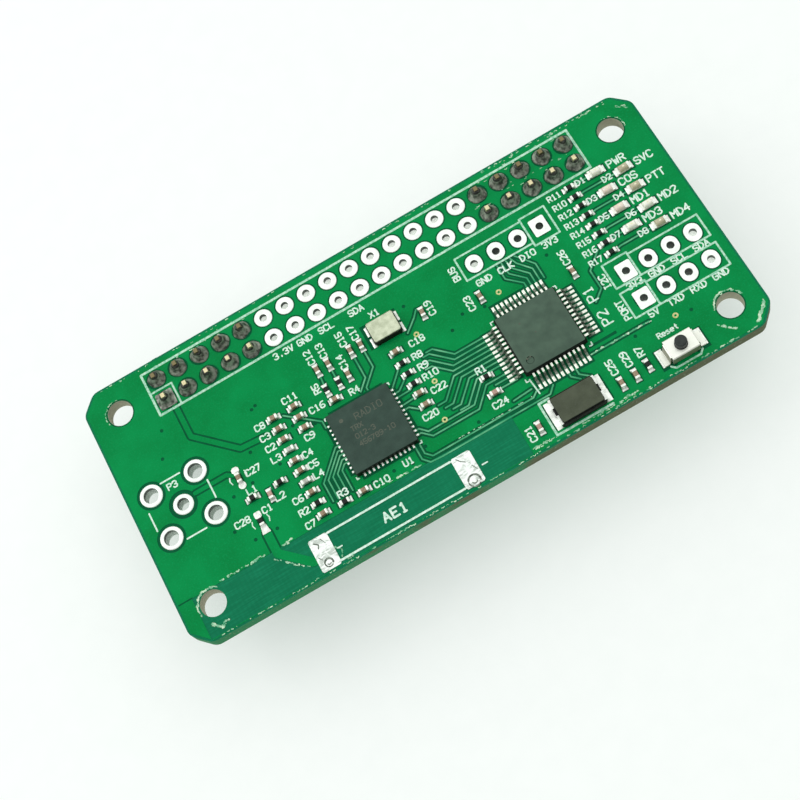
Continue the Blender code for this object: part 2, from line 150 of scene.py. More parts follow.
class Finish:
    """A Principled material whose patterns are wired by short calls, in millimetres."""

    def __init__(self, name, colour, roughness, metallic=0.0, **sockets):
        self.material = bpy.data.materials.new(name)
        self.material.use_nodes = True
        self.tree = self.material.node_tree
        self.shader = self.tree.nodes["Principled BSDF"]
        self.shader.inputs["Base Color"].default_value = (*colour, 1.0)
        self.shader.inputs["Roughness"].default_value = roughness
        self.shader.inputs["Metallic"].default_value = metallic
        for socket, value in sockets.items():
            self.shader.inputs[socket.replace("_", " ")].default_value = value
        place = self.tree.nodes.new("ShaderNodeTexCoord")
        scale = self.tree.nodes.new("ShaderNodeVectorMath")
        scale.operation = "SCALE"
        scale.inputs["Scale"].default_value = 1.0 / MM
        self.tree.links.new(place.outputs["Object"], scale.inputs[0])
        self.millimetres = scale.outputs[0]
        print("finish", name)

    def noise(self, per_mm, detail=3.0, stretch=(1.0, 1.0, 1.0), distortion=0.0):
        """A cloudy pattern from 0 to 1 with about per_mm blobs a millimetre."""
        stretched = self.tree.nodes.new("ShaderNodeMapping")
        stretched.inputs["Scale"].default_value = stretch
        self.tree.links.new(self.millimetres, stretched.inputs["Vector"])
        noise = self.tree.nodes.new("ShaderNodeTexNoise")
        noise.inputs["Scale"].default_value = per_mm
        noise.inputs["Detail"].default_value = detail
        noise.inputs["Distortion"].default_value = distortion
        self.tree.links.new(stretched.outputs["Vector"], noise.inputs["Vector"])
        return noise.outputs["Fac"]

    def axis(self, which):
        """One coordinate of the piece, in millimetres."""
        split = self.tree.nodes.new("ShaderNodeSeparateXYZ")
        self.tree.links.new(self.millimetres, split.inputs["Vector"])
        return split.outputs[which]

    def upward(self):
        """How far a face looks up or down: 1 on flat faces, 0 on the walls."""
        facing = self.tree.nodes.new("ShaderNodeNewGeometry")
        split = self.tree.nodes.new("ShaderNodeSeparateXYZ")
        self.tree.links.new(facing.outputs["Normal"], split.inputs["Vector"])
        return self.math("ABSOLUTE", split.outputs["Z"])

    def math(self, operation, *values):
        """One sum of numbers and patterns."""
        node = self.tree.nodes.new("ShaderNodeMath")
        node.operation = operation
        for value, socket in zip(values, node.inputs):
            if isinstance(value, float):
                socket.default_value = value
            else:
                self.tree.links.new(value, socket)
        return node.outputs[0]

    def step(self, value, low, high):
        """0 below low, 1 above high, smooth between them."""
        node = self.tree.nodes.new("ShaderNodeMapRange")
        node.interpolation_type = "SMOOTHSTEP"
        node.inputs["From Min"].default_value = low
        node.inputs["From Max"].default_value = high
        self.tree.links.new(value, node.inputs["Value"])
        return node.outputs["Result"]

    def mix(self, share, first, second):
        """A colour that goes from first to second with share."""
        node = self.tree.nodes.new("ShaderNodeMix")
        node.data_type = "RGBA"
        self.tree.links.new(share, node.inputs["Factor"])
        for value, socket in ((first, node.inputs["A"]), (second, node.inputs["B"])):
            for candidate in node.inputs:
                if candidate.name == socket.name and candidate.type == "RGBA":
                    socket = candidate
            if isinstance(value, tuple):
                socket.default_value = (*value, 1.0)
            else:
                self.tree.links.new(value, socket)
        return node.outputs[2]

    def colour(self, source):
        """Makes a pattern the base colour."""
        self.tree.links.new(source, self.shader.inputs["Base Color"])

    def roughness(self, share, low, high):
        """Lets a pattern lead the roughness from low to high."""
        span = self.tree.nodes.new("ShaderNodeMapRange")
        span.inputs["To Min"].default_value = low
        span.inputs["To Max"].default_value = high
        self.tree.links.new(share, span.inputs["Value"])
        self.tree.links.new(span.outputs["Result"], self.shader.inputs["Roughness"])

    def bump(self, height, depth_mm, strength=1.0):
        """Dents the surface by a pattern, depth_mm deep."""
        node = self.tree.nodes.new("ShaderNodeBump")
        node.inputs["Strength"].default_value = strength
        node.inputs["Distance"].default_value = depth_mm * MM
        self.tree.links.new(height, node.inputs["Height"])
        self.tree.links.new(node.outputs["Normal"], self.shader.inputs["Normal"])


def mottled(name, dark, light, per_mm, roughness, depth_mm, metallic=0.0, detail=4.0, **sockets):
    """A finish for small parts: two tones in fine blobs, with the same blobs as a grain."""
    finish = Finish(name, dark, sum(roughness) / 2, metallic, **sockets)
    grain = finish.noise(per_mm, detail)
    finish.colour(finish.mix(finish.step(grain, 0.3, 0.7), dark, light))
    finish.roughness(grain, *roughness)
    finish.bump(grain, depth_mm)
    return finish.material


# %% [markdown]
# ## The floor
# The floor is a pale sheet in the plane of the sockets' mouths. On a light table the sheet itself glows, and
# that fills the shadow under the board. Plain white paper would need a second set of lights to be as even,
# so the sheet gets a faint glow of its own.

# %% Floor
FLOOR_REACH = 900
paper = Finish("studio_paper", (0.86, 0.89, 0.87), 0.7, Emission_Color=WHITE_CLOTH, Emission_Strength=0.4)
fibre = paper.noise(0.35, 5.0)
paper.colour(paper.mix(fibre, (0.5, 0.52, 0.51), (0.54, 0.555, 0.545)))
paper.bump(fibre, 0.02)

floor_shape = bmesh.new()
bmesh.ops.create_grid(floor_shape, x_segments=8, y_segments=8, size=FLOOR_REACH * MM)
floor_mesh = bpy.data.meshes.new("studio_floor")
floor_shape.to_mesh(floor_mesh)
floor_shape.free()
floor_mesh.materials.append(paper.material)
floor = bpy.data.objects.new("studio_floor", floor_mesh)
scene.collection.objects.link(floor)

# %% [markdown]
# ## Solder resist, over copper and over bare laminate
# The green lacquer is the same everywhere, but copper under it throws light back, so it looks brighter
# there, and bare laminate swallows light and lets the weave of the glass cloth show. The board's solid gets
# the darker finish, and copper laid on it later gets the brighter one. The weave is a stretched noise for
# the warp and a faint sine wave for the weft.

# %% Resist on laminate
WEFT_WAVES = 13.0
laminate = Finish("resist_on_laminate", (0.001, 0.165, 0.07), 0.3, Specular_IOR_Level=0.07)
cloud = laminate.noise(0.35, 3.0)
warp = laminate.noise(1.6, 3.0, (0.25, 4.0, 1.0))
weft = laminate.math("SINE", laminate.math("MULTIPLY", laminate.axis("X"), WEFT_WAVES))
cloth = laminate.math("MULTIPLY_ADD", weft, 0.04, warp)
lacquer = laminate.mix(cloud, (0.0, 0.124, 0.054), (0.003, 0.177, 0.077))
woven = laminate.mix(laminate.step(cloth, 0.35, 1.1), lacquer, (0.008, 0.24, 0.115))

# %% [markdown]
# The board's sawn edge isn't lacquered: it shows resin and glass in thin layers, dusty and brownish, greener
# where lacquer ran over the rim. The walls of the screw holes are drilled, so they are cleaner and paler. It
# could be a second material on the side faces, but the solid comes with one slot. So one material does all:
# which way the face looks tells walls from tops, and the distance from the middle tells edge from hole.

# %% The sawn edge and the drilled holes
LONGER_BY = 17.5
RIM_FROM, RIM_TO = 13.0, 13.8
speck = laminate.step(laminate.noise(3.2, 5.0), 0.58, 0.74)
layers = laminate.noise(2.2, 4.0, (0.5, 0.5, 5.0))
resin = laminate.mix(layers, (0.055, 0.08, 0.04), (0.18, 0.19, 0.11))
edge_place = laminate.math("MULTIPLY_ADD", laminate.axis("X"), -0.006, laminate.noise(0.16, 2.0))
edge_green = laminate.step(edge_place, 0.42, 0.6)
resin = laminate.mix(edge_green, resin, (0.04, 0.24, 0.1))
edge = laminate.mix(speck, resin, (0.25, 0.3, 0.2))
across = laminate.math("ABSOLUTE", laminate.axis("Y"))
lengthways = laminate.math("SUBTRACT", laminate.math("ABSOLUTE", laminate.axis("X")), LONGER_BY)
rim = laminate.step(laminate.math("MAXIMUM", across, lengthways), RIM_FROM, RIM_TO)
bore = laminate.mix(layers, (0.3, 0.31, 0.22), (0.56, 0.54, 0.43))
edge = laminate.mix(rim, bore, edge)
flat_face = laminate.step(laminate.upward(), 0.4, 0.8)
laminate.colour(laminate.mix(flat_face, edge, woven))
laminate.roughness(flat_face, 0.75, 0.3)
laminate.bump(laminate.math("ADD", cloth, layers), 0.01, 0.5)


def finish_node(node, *materials):
    """Gives a solid of the frame its material, in its own slots."""
    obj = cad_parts[node]
    for index, material in enumerate(materials):
        if index < len(obj.material_slots):
            obj.material_slots[index].material = material
        else:
            obj.data.materials.append(material)
    return obj


board = finish_node("circuit_board", laminate.material)
print("board slots", len(board.material_slots))

# %% [markdown]
# Over copper the lacquer is brighter, with slow clouds where it dried thicker. In the grooves beside tracks
# there is no copper under it, and the shade of the grooves' walls is painted into it, so it looks nearly
# black.
# On fine tracks it runs off and thins out, so they look paler than broad copper, and pale clouds on them are
# painted highlights. That makes three recipes of the same green.

# %% Resist on copper
copper_green = Finish("resist_on_copper", (0.0, 0.262, 0.062), 0.28, Specular_IOR_Level=0.05)
cloud = copper_green.noise(0.22, 4.0, distortion=0.4)
fine = copper_green.noise(6.0, 4.0)
tone = copper_green.mix(copper_green.step(cloud, 0.25, 0.75), (0.0, 0.195, 0.044), (0.0, 0.255, 0.064))
copper_green.colour(copper_green.mix(copper_green.step(fine, 0.45, 0.95), tone, (0.003, 0.3, 0.088)))
copper_green.roughness(cloud, 0.22, 0.34)
copper_green.bump(fine, 0.004, 0.5)

# %% Resist in the gaps, and on fine tracks
# The near black green of the gaps is partly lacquer without copper under it and partly painted shade from the
# grooves' walls.
gap_green_in_painted_shade = Finish("resist_in_gaps_painted_shade", (0.0, 0.11, 0.035), 0.4, Specular_IOR_Level=0.05)
cloud = gap_green_in_painted_shade.noise(0.8, 4.0)
gap_green_in_painted_shade.colour(gap_green_in_painted_shade.mix(cloud, (0.0, 0.062, 0.022), (0.0, 0.12, 0.045)))
gap_green_in_painted_shade.bump(gap_green_in_painted_shade.noise(5.0, 3.0), 0.004, 0.5)

# The fine tracks are paler for their thin lacquer, and their pale clouds are painted highlights.
fine_green = Finish("resist_on_fine_tracks", (0.01, 0.3, 0.1), 0.3, Specular_IOR_Level=0.25)
cloud = fine_green.noise(0.5, 4.0)
fine_green.colour(fine_green.mix(fine_green.step(cloud, 0.35, 0.75), (0.02, 0.3, 0.12), (0.16, 0.5, 0.27)))
fine_green.bump(fine_green.noise(5.0, 3.0), 0.004, 0.5)

# %% [markdown]
# ## Flat artwork
# Copper, pads and printed ink are flat shapes with straight walls. Each is drawn as overlapping polygons:
# a track is a chain of capsules, a letter is a few strokes. A constrained triangulation then splits the
# plane along all their edges and says which polygons cover each triangle, so joining them and cutting gaps
# needs no solid modelling. The kept triangles become a closed slab with its own walls.

# %% Polygons


def ring_points(centre, radius, steps=24):
    """A circle as a polygon."""
    angles = [2 * math.pi * i / steps for i in range(steps)]
    return [(centre[0] + radius * math.cos(a), centre[1] + radius * math.sin(a)) for a in angles]


def rectangle(left, low, right, high):
    """A box as a polygon."""
    return [(left, low), (right, low), (right, high), (left, high)]


def capsule(start, end, width, steps=5):
    """A thick line with round ends."""
    along = math.atan2(end[1] - start[1], end[0] - start[0])
    points = []
    for centre, turn in ((end, along - math.pi / 2), (start, along + math.pi / 2)):
        for i in range(steps + 1):
            angle = turn + math.pi * i / steps
            points.append((centre[0] + width / 2 * math.cos(angle), centre[1] + width / 2 * math.sin(angle)))
    return points


def chain(points, width, steps=5):
    """A thick line through several points, as capsules."""
    return [capsule(a, b, width, steps) for a, b in zip(points, points[1:])]


def arc(centre, radius, first, last, steps=10):
    """Points along a part of a circle, from one angle to another, in degrees."""
    angles = [math.radians(first + (last - first) * i / steps) for i in range(steps + 1)]
    return [(centre[0] + radius * math.cos(a), centre[1] + radius * math.sin(a)) for a in angles]


print("a round pad has", len(ring_points((0, 0), 1)), "corners")

# %% Slabs


def flat_region(base, gaps=(), islands=()):
    """Triangles that islands cover, or that base covers and gaps leave."""
    polygons = [*base, *gaps, *islands]
    gaps_from, islands_from = len(base), len(base) + len(gaps)
    points, faces = [], []
    for polygon in polygons:
        faces.append(list(range(len(points), len(points) + len(polygon))))
        points += [Vector(point) for point in polygon]
    cut = delaunay_2d_cdt(points, [], faces, 1, 1e-5)
    kept = []
    for triangle, owners in zip(cut[2], cut[5]):
        on_island = any(o >= islands_from for o in owners)
        in_gap = any(gaps_from <= o < islands_from for o in owners)
        in_base = any(o < gaps_from for o in owners)
        if on_island or (in_base and not in_gap):
            kept.append(list(triangle))
    return cut[0], kept


def add_slab(shape, region, low, high):
    """Turns flat triangles into a closed slab between two heights."""
    points, triangles = region
    levels = [{}, {}]
    for triangle in triangles:
        for i in triangle:
            if i not in levels[0]:
                for level, z in zip(levels, (low, high)):
                    level[i] = shape.verts.new((points[i].x * MM, points[i].y * MM, z * MM))
    edges = set()
    for a, b, c in triangles:
        shape.faces.new([levels[1][i] for i in (a, b, c)])
        shape.faces.new([levels[0][i] for i in (c, b, a)])
        edges.update(((a, b), (b, c), (c, a)))
    for a, b in edges:
        if (b, a) not in edges:
            shape.faces.new((levels[0][a], levels[0][b], levels[1][b], levels[1][a]))


def piece_from(name, shape, materials, body="board", smooth=None):
    """Makes a finished piece from a bmesh, and lets it ride on its body."""
    mesh = bpy.data.meshes.new(name)
    shape.to_mesh(mesh)
    shape.free()
    for material in materials:
        mesh.materials.append(material)
    if smooth is not None:
        mesh.shade_smooth()
        mesh.set_sharp_from_angle(angle=math.radians(smooth))
    obj = bpy.data.objects.new(name, mesh)
    scene.collection.objects.link(obj)
    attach(obj, body)
    print(f"{name}: {len(mesh.polygons)} faces")
    return obj


def slab_piece(name, region, low, high, finish):
    """A piece that is a single slab."""
    shape = bmesh.new()
    add_slab(shape, region, low, high)
    return piece_from(name, shape, [finish])


# %% [markdown]
# ## Where the holes are
# The drawing of the copper and the pads starts from the holes: two rows of twenty for the header, three
# service rows of four, and five for a coaxial connector that isn't fitted. They sit on the 2.54 mm grid.

# %% Hole places
PITCH = 2.54
HEADER_Y = 11.5
HEADER_X = [PITCH * (i - 9.5) for i in range(20)]
SOLDERED = [i < 5 or i > 14 for i in range(20)]
ROWS_Y = (HEADER_Y - PITCH / 2, HEADER_Y + PITCH / 2)
header_pins = [(x, y, done) for x, done in zip(HEADER_X, SOLDERED) for y in ROWS_Y]
PIN_ONE = (HEADER_X[0], ROWS_Y[0])
DEBUG_ROW = [(9.95 + PITCH * i, 6.1) for i in range(4)]
PORT_ROWS = [[(22.38 + PITCH * i, y) for i in range(4)] for y in (-2.9, -6.35)]
service_pads = [(*place, place == DEBUG_ROW[3]) for place in DEBUG_ROW]
service_pads += [(*place, place[0] < 23) for row in PORT_ROWS for place in row]
COAX_MIDDLE = (-27.33, -0.85)
coax_legs = [(COAX_MIDDLE[0] + sx * PITCH, COAX_MIDDLE[1] + sy * PITCH) for sx in (-1, 1) for sy in (-1, 1)]
SCREW_HOLES = [(sx * 29.0, sy * 11.5) for sx in (-1, 1) for sy in (-1, 1)]
PIN_HOLE, SCREW_HOLE, COAX_LEG_HOLE, COAX_HOLE = 0.5, 1.4, 0.85, 0.7
print(len(header_pins), "header holes,", len(service_pads), "service holes")

# %% [markdown]
# ## Small parts and their pads
# The board carries some fifty resistors, capacitors and inductors, all a millimetre long. A table gives
# each one's kind, place and whether it stands upright on the board's plan. Nineteen of them are solids of
# the frame, in three groups, and the detailed piece stands for them. Beside their column of eight resistors
# stand the lamps, in two columns, and the two chips have their places in the middle.

# %% Table of small parts
CHIP = Vector((-7.25, -4.2))
CONTROLLER = Vector((11.93, -4.2))
LAMP_RESISTOR_X = 22.2
LAMP_RESISTOR_Y = [8.1 - 1.215 * i for i in range(8)]
small_parts = []
for i, y in enumerate(LAMP_RESISTOR_Y, start=1):
    small_parts.append((f"lamp_resistor_{i}", "resistor", LAMP_RESISTOR_X, y, False))
filter_kinds = ("capacitor", "capacitor", "capacitor", "inductor", "capacitor",
                "capacitor", "inductor", "capacitor", "resistor", "capacitor")
for i, kind in enumerate(filter_kinds):
    small_parts.append((f"filter_{kind}_{i + 1}", kind, -15.4, 2.3 - 1.28 * i, False))
small_parts.append(("antenna_capacitor", "capacitor", -21.2, -1.45, True))
FRAME_PARTS = len(small_parts)

loose_parts = {
    "bypass_capacitor": [(-13.0, 2.3), (-13.0, 1.02), (-13.0, -0.26), (-9.0, 0.7), (-1.4, 1.9),
                         (-1.4, -3.25), (-1.4, -4.65), (-10.85, -9.25), (5.05, -7.25)],
    "bypass_capacitor_upright": [(-9.2, 4.5), (-7.9, 4.5), (-5.3, 4.5), (-4.1, 4.5), (-6.65, 2.35),
                                 (2.9, 4.2), (8.7, 2.55), (17.9, -0.15), (7.0, -12.7), (16.0, -12.95),
                                 (17.6, -12.9), (-19.15, -4.7)],
    "bias_resistor": [(-1.4, 0.5), (-1.4, -0.8), (-1.4, -2.05), (-13.0, -9.25), (5.1, -5.3)],
    "bias_resistor_upright": [(-9.3, 2.1), (-7.85, 2.1), (19.1, -12.65), (-21.2, -6.6)],
    "matching_inductor": [(-20.85, -4.05), (-17.75, -4.05)],
}
for name, places in loose_parts.items():
    kind = name.split("_")[1]
    for i, (x, y) in enumerate(places):
        small_parts.append((f"{name}_{i + 1}", kind, x, y, name.endswith("upright")))
print(len(small_parts), "small parts,", FRAME_PARTS, "of them in the frame")

# %% Lamp places
LAMP_X = (25.3, 27.85)
lamps = [(LAMP_X[i % 2], 8.15 - 1.2 * i) for i in range(8)]
print("lamps from", lamps[0], "to", lamps[-1])

# %% [markdown]
# ## Copper tracks
# Signal tracks run as straight pieces with 45 degree corners. They are drawn as point lists, and fans of
# parallel tracks come from loops, the way a router lays them. Around each track the flooded copper keeps
# a gap, so a track shows as a bright line between two dark grooves.

# %% Single tracks
tracks = []


def track(width, *points):
    """Notes one track, to be drawn later."""
    tracks.append((width, points))


track(0.55, (-23.6, 9.4), (-23.6, 5.2), (-19.7, 1.3), (-17.0, 1.1))
track(0.9, (-21.2, -8.0), (-21.2, -10.4), (-18.5, -13.0), (-17.2, -13.0))
track(0.45, (-25.8, -0.45), (-22.2, -0.45), (-21.6, -0.85))
for points in (
    ((-6.4, 0.1), (-5.3, 1.2), (-5.3, 3.9)),
    ((-5.7, -0.1), (-5.7, 0.2), (-4.1, 1.8), (-4.1, 3.9)),
    ((-14.4, 2.1), (-11.2, -0.6), (-11.2, -1.4), (-10.9, -1.45)),
    ((-3.5, -1.3), (-2.2, 0.0), (-1.9, 0.5)),
    ((-3.5, -1.95), (-3.0, -1.9), (-2.1, -1.2)),
    ((-3.5, -2.45), (-2.0, -2.4)),
    ((-3.5, -3.45), (-2.0, -3.35)),
    ((-3.5, -3.95), (-3.0, -3.95), (-2.2, -4.65)),
    ((-3.5, -6.45), (-3.2, -6.45), (-2.5, -7.2), (2.7, -7.2), (4.4, -5.45)),
    ((-3.5, -6.95), (-3.2, -6.95), (-2.3, -7.85), (2.9, -7.85), (4.7, -6.0), (6.9, -6.0)),
    ((5.5, -6.5), (6.9, -6.5)),
    ((5.6, -7.1), (7.6, -7.1)),
    ((-4.4, -7.9), (-4.4, -9.4), (-3.8, -10.1), (-2.5, -10.2), (8.0, -10.2), (9.6, -10.2), (10.3, -9.5)),
    ((-3.9, -7.9), (-3.9, -9.0), (-3.3, -9.65), (8.0, -9.65), (8.6, -9.2), (9.0, -9.2)),
    ((12.2, -9.2), (12.2, -9.7), (12.9, -10.4)),
    ((13.0, -9.2), (13.0, -9.9), (13.9, -10.7)),
    ((6.2, -8.9), (8.3, -8.75)),
    ((15.0, -8.75), (21.5, -8.75)),
    ((18.2, -4.2), (19.4, -3.2), (19.4, -1.0), (21.2, 0.6)),
    ((0.6, 3.1), (1.9, 4.2), (2.5, 4.9)),
    ((-7.9, 3.9), (-7.9, 2.8)),
    ((-9.2, 3.9), (-9.3, 2.8)),
):
    track(0.16, *points)
print(len(tracks), "single tracks")

# %% Fans of tracks
for i in range(5):
    start_y = -3.75 - 0.5 * i
    turn_x = -14.0 + 0.55 * i
    drop = -11.3 - turn_x
    track(0.15, (-10.8, start_y), (-11.3, start_y), (turn_x, start_y - drop), (turn_x, -8.6))
for i, (bend_x, far_x) in enumerate(((3.6, 1.9), (3.3, 1.4), (2.9, 1.1), (2.6, 1.0))):
    lane_y = -1.45 - 0.5 * i
    run = bend_x - far_x
    track(0.16, (6.9, lane_y), (bend_x, lane_y), (far_x, lane_y + run), (far_x - 0.7, lane_y + run))
for i, (bend_x, far_x) in enumerate(((2.4, 0.5), (3.0, 1.0), (3.6, 1.6), (4.2, 2.2))):
    lane_y = -3.45 - 0.5 * i
    run = bend_x - far_x
    track(0.16, (6.9, lane_y), (bend_x, lane_y), (far_x, lane_y - run), (far_x - 0.9, lane_y - run))
for i in range(5):
    x = 13.2 + 0.5 * i
    track(0.15, (x, 0.9), (x, 1.5 + 0.3 * i), (x - 1.4 + 0.1 * i, 2.9 + 0.3 * i), (x - 1.4, 4.6))
for i in range(8):
    y = lamps[i][1]
    track(0.16, (LAMP_RESISTOR_X + 0.5, LAMP_RESISTOR_Y[i]), (23.3, y), (lamps[i][0] - 0.7, y))
print(len(tracks), "tracks in all")

# %% [markdown]
# ## The copper that fills the rest
# Copper floods the free area as ground. It stops short of the board's edge, leaves the antenna's corner free,
# and keeps a gap around tracks and pads. The slab is 0.03 mm high, about what 35 micron copper adds.

# %% Outlines
COPPER = 0.03
CORNER = 1.8
EDGE_MARGIN, UNDER_MARGIN = 0.22, 0.32
antenna_corner = rectangle(-30.7, -14.7, 5.2, -10.0)


def outline(inset):
    """The board's outline, moved inwards."""
    x, y, cut = HALF_X - inset, HALF_Y - inset, CORNER - 0.4 * inset
    return [(x - cut, -y), (x, cut - y), (x, y - cut), (x - cut, y),
            (cut - x, y), (-x, y - cut), (-x, cut - y), (cut - x, -y)]


def turned_rectangle(x, y, half_long, half_short, upright):
    """A rectangle around a place, lying or upright."""
    if upright:
        half_long, half_short = half_short, half_long
    return rectangle(x - half_long, y - half_short, x + half_long, y + half_short)


def rings_at(places, radius, steps):
    """A ring around every place."""
    return [ring_points(place, radius, steps) for place in places]


print("board outline", outline(0.0))

# %% Gaps in the copper
small_vias = [(-22.5, -2.9), (-20.2, -2.6), (-22.5, -8.0), (-20.1, -8.1), (-16.4, 4.6), (-16.9, 4.4),
              (-3.5, -8.4), (-7.35, -9.0), (-12.15, -6.9), (2.6, -6.9), (-11.9, -0.4), (-24.0, -6.2),
              (-27.2, 4.6), (-19.0, 0.4), (-16.9, -2.3), (-14.0, 0.6), (1.6, 5.9), (4.6, 0.9), (6.3, 1.9),
              (20.0, 2.0), (19.6, -9.4), (8.6, 1.4), (-5.4, -9.3), (-9.7, -8.9), (2.2, -9.0), (12.2, 2.6),
              (16.6, 2.9), (-26.0, 7.4), (25.6, -9.9)]
SCREW_GAP, PIN_GAP, COAX_GAP = 1.52, 1.12, 1.52
gaps = rings_at(small_vias, 0.19, 12)
gaps += rings_at(SCREW_HOLES, SCREW_GAP, 32)
gaps += rings_at(header_pins, PIN_GAP, 16)
gaps += [capsule((x, y - 0.16), (x, y + 0.16), 2.04, 8) for x, y, _ in service_pads]
gaps += rings_at((*coax_legs, COAX_MIDDLE), COAX_GAP, 24)
gaps += [turned_rectangle(x, y, 0.92, 0.38, upright) for _, _, x, y, upright in small_parts]
gaps += [turned_rectangle(x, y, 1.2, 0.55, False) for x, y in lamps]
for middle, reach, depth in ((CHIP, 3.5, 0.55), (CONTROLLER, 4.5, 0.85)):
    for side in (-1, 1):
        x, y = middle.x + side * reach, middle.y + side * reach
        gaps.append(rectangle(x - depth, middle.y - 3.1, x + depth, middle.y + 3.1))
        gaps.append(rectangle(middle.x - 3.1, y - depth, middle.x + 3.1, y + depth))
BOAT_GAPS = ((-3.4, 3.4, -2.6, 6.3), (0.0, 3.4, 0.65, 6.3),
             (8.2, -13.8, 9.4, -10.9), (13.5, -13.8, 14.7, -10.9))
BUTTON_GAPS = ((20.05, -14.1, 21.6, -11.75), (23.8, -14.1, 25.35, -11.75))
GROOVES = ((15.2, -8.15, 18.3, -7.85), (-32.2, -10.05, -30.6, -9.9))
gaps += [rectangle(*box) for box in BOAT_GAPS + BUTTON_GAPS + GROOVES]
print(len(gaps), "gaps before the tracks")

# %% Flooded copper
BROAD = 0.3
BROAD_CLEARANCE, FINE_CLEARANCE = 0.19, 0.2
fine_tracks, broad_tracks = [], []
for width, points in tracks:
    gaps += chain(points, width + 2 * (BROAD_CLEARANCE if width > BROAD else FINE_CLEARANCE))
    (broad_tracks if width > BROAD else fine_tracks).extend(chain(points, width))

flooded = flat_region([outline(EDGE_MARGIN)], [antenna_corner, *gaps], broad_tracks)
slab_piece("copper_under_resist", flooded, TOP, TOP + COPPER, copper_green.material)
slab_piece("fine_tracks", flat_region(fine_tracks), TOP, TOP + COPPER + 0.004, fine_green.material)

# %% [markdown]
# In the gaps there is no copper, so the lacquer there lies lower, in a groove. The groove's floor could be
# the board's own top, but its finish is that of the open antenna corner, and a narrow groove looks darker,
# from the shade of its walls. That shade is painted, so the gaps get a floor of their own, a very thin slab
# that spares the holes.

# %% Floor of the gaps
ROOM = 0.02
open_holes = rings_at(SCREW_HOLES, SCREW_HOLE, 32)
open_holes += rings_at(header_pins + service_pads, PIN_HOLE + ROOM, 20)
open_holes += rings_at(coax_legs, COAX_LEG_HOLE + ROOM, 24) + rings_at([COAX_MIDDLE], COAX_HOLE + ROOM, 24)
groove_floor = flat_region(gaps, [antenna_corner, *open_holes])
slab_piece("resist_in_the_gaps", groove_floor, TOP, TOP + 0.006, gap_green_in_painted_shade.material)

# %% [markdown]
# On the underside the flooded copper is plainer: it only leaves the holes and the antenna's corner free,
# with a few wide tracks that join the header's middle pins to the service rows.

# %% Copper on the underside
UNDER_CLEARANCE = 0.3
under_tracks = [(0.8, ((-11.4, 9.0), (-11.4, 4.0), (-4.0, -3.4), (14.0, -3.4), (17.0, -0.4), (17.0, 3.0))),
                (0.4, ((1.3, 9.0), (1.3, 5.4), (8.0, 2.2), (9.9, 4.2))),
                (0.4, ((3.8, 9.0), (3.8, 6.2), (8.6, 3.4), (12.4, 3.4), (12.5, 4.2))),
                (0.4, ((21.6, 9.0), (21.6, 4.0), (24.9, 0.7), (24.9, -1.6))),
                (1.2, ((-24.9, -0.8), (-18.0, -0.8), (-14.0, -4.8), (-14.0, -9.0)))]
under_gaps = [antenna_corner]
under_gaps += rings_at(SCREW_HOLES, SCREW_GAP, 32)
under_gaps += rings_at(header_pins, PIN_GAP, 16)
under_gaps += rings_at(service_pads, 1.15, 16)
under_gaps += rings_at((*coax_legs, COAX_MIDDLE), 1.45, 24)
under_islands = []
for width, points in under_tracks:
    under_gaps += chain(points, width + 2 * UNDER_CLEARANCE)
    under_islands += chain(points, width)
under_copper = flat_region([outline(UNDER_MARGIN)], under_gaps, under_islands)
slab_piece("copper_on_underside", under_copper, UNDER - COPPER, UNDER, copper_green.material)

# %% [markdown]
# ## Tin and solder
# Bare copper would tarnish, so every pad has a thin coat of tin. It isn't a mirror: it dried in slightly
# uneven puddles and was scratched by handling. The solder on the soldered pins is painted dark grey in
# blotches, as painted shade for the dark surroundings that it reflects. Both are metals; the difference lies
# in tone, roughness and how lumpy they are.

# %% Tin and solder finishes
tin = mottled("tinned_pad", (0.8, 0.84, 0.79), (0.94, 0.97, 0.92), 2.5, (0.25, 0.45), 0.012, 0.5)
solder = mottled("solder_joint", (0.66, 0.68, 0.63), (0.9, 0.92, 0.86), 3.0, (0.2, 0.4), 0.02, 0.6)
# Dark grey solder for the cones: painted shade for the dark surroundings they reflect.
pin_solder_painted_shade = mottled("pin_solder_in_painted_shade", (0.06, 0.065, 0.055), (0.42, 0.43, 0.37), 2.2, (0.35, 0.6), 0.05,
                     0.55)
# Nearly black solder for the cones' upper parts.
nearly_black_cone_top = mottled("nearly_black_cone_solder", (0.012, 0.014, 0.012), (0.07, 0.072, 0.06), 4.0, (0.4, 0.6), 0.03, 0.4)

scuffed = Finish("scuffed_tin", (0.8, 0.82, 0.78), 0.4, 0.45)
patches = scuffed.noise(1.1, 4.0, distortion=1.2)
lines = scuffed.noise(3.0, 3.0, (0.35, 2.2, 1.0), 0.6)
scratch = scuffed.step(lines, 0.52, 0.6)
base = scuffed.mix(scuffed.step(patches, 0.4, 0.62), (0.86, 0.9, 0.86), (0.5, 0.55, 0.5))
scuffed.colour(scuffed.mix(scratch, base, (0.93, 0.95, 0.93)))
scuffed.roughness(patches, 0.3, 0.6)
scuffed.bump(scuffed.math("ADD", patches, lines), 0.02)

# %% Turned shapes


def add_turned(shape, profile, centre, steps=24, ripple=None, materials=None):
    """Turns a closed profile of (radius, height) around an upright axis; ripple(angle) scales radii."""
    rings = []
    for i in range(steps):
        angle = 2 * math.pi * i / steps
        scale = 1.0 if ripple is None else ripple(angle)
        rings.append([shape.verts.new(((centre[0] + r * scale * math.cos(angle)) * MM,
                                       (centre[1] + r * scale * math.sin(angle)) * MM, z * MM))
                      for r, z in profile])
    for ring, after in zip(rings, rings[1:] + rings[:1]):
        for j in range(len(profile)):
            k = (j + 1) % len(profile)
            face = shape.faces.new((ring[j], after[j], after[k], ring[k]))
            if materials:
                face.material_index = materials[j]


trial = bmesh.new()
add_turned(trial, [(2.0, 0.0), (2.0, 1.0), (1.0, 1.0), (1.0, 0.0)], (0.0, 0.0))
print("a plain turned ring has", len(trial.faces), "faces")
trial.free()
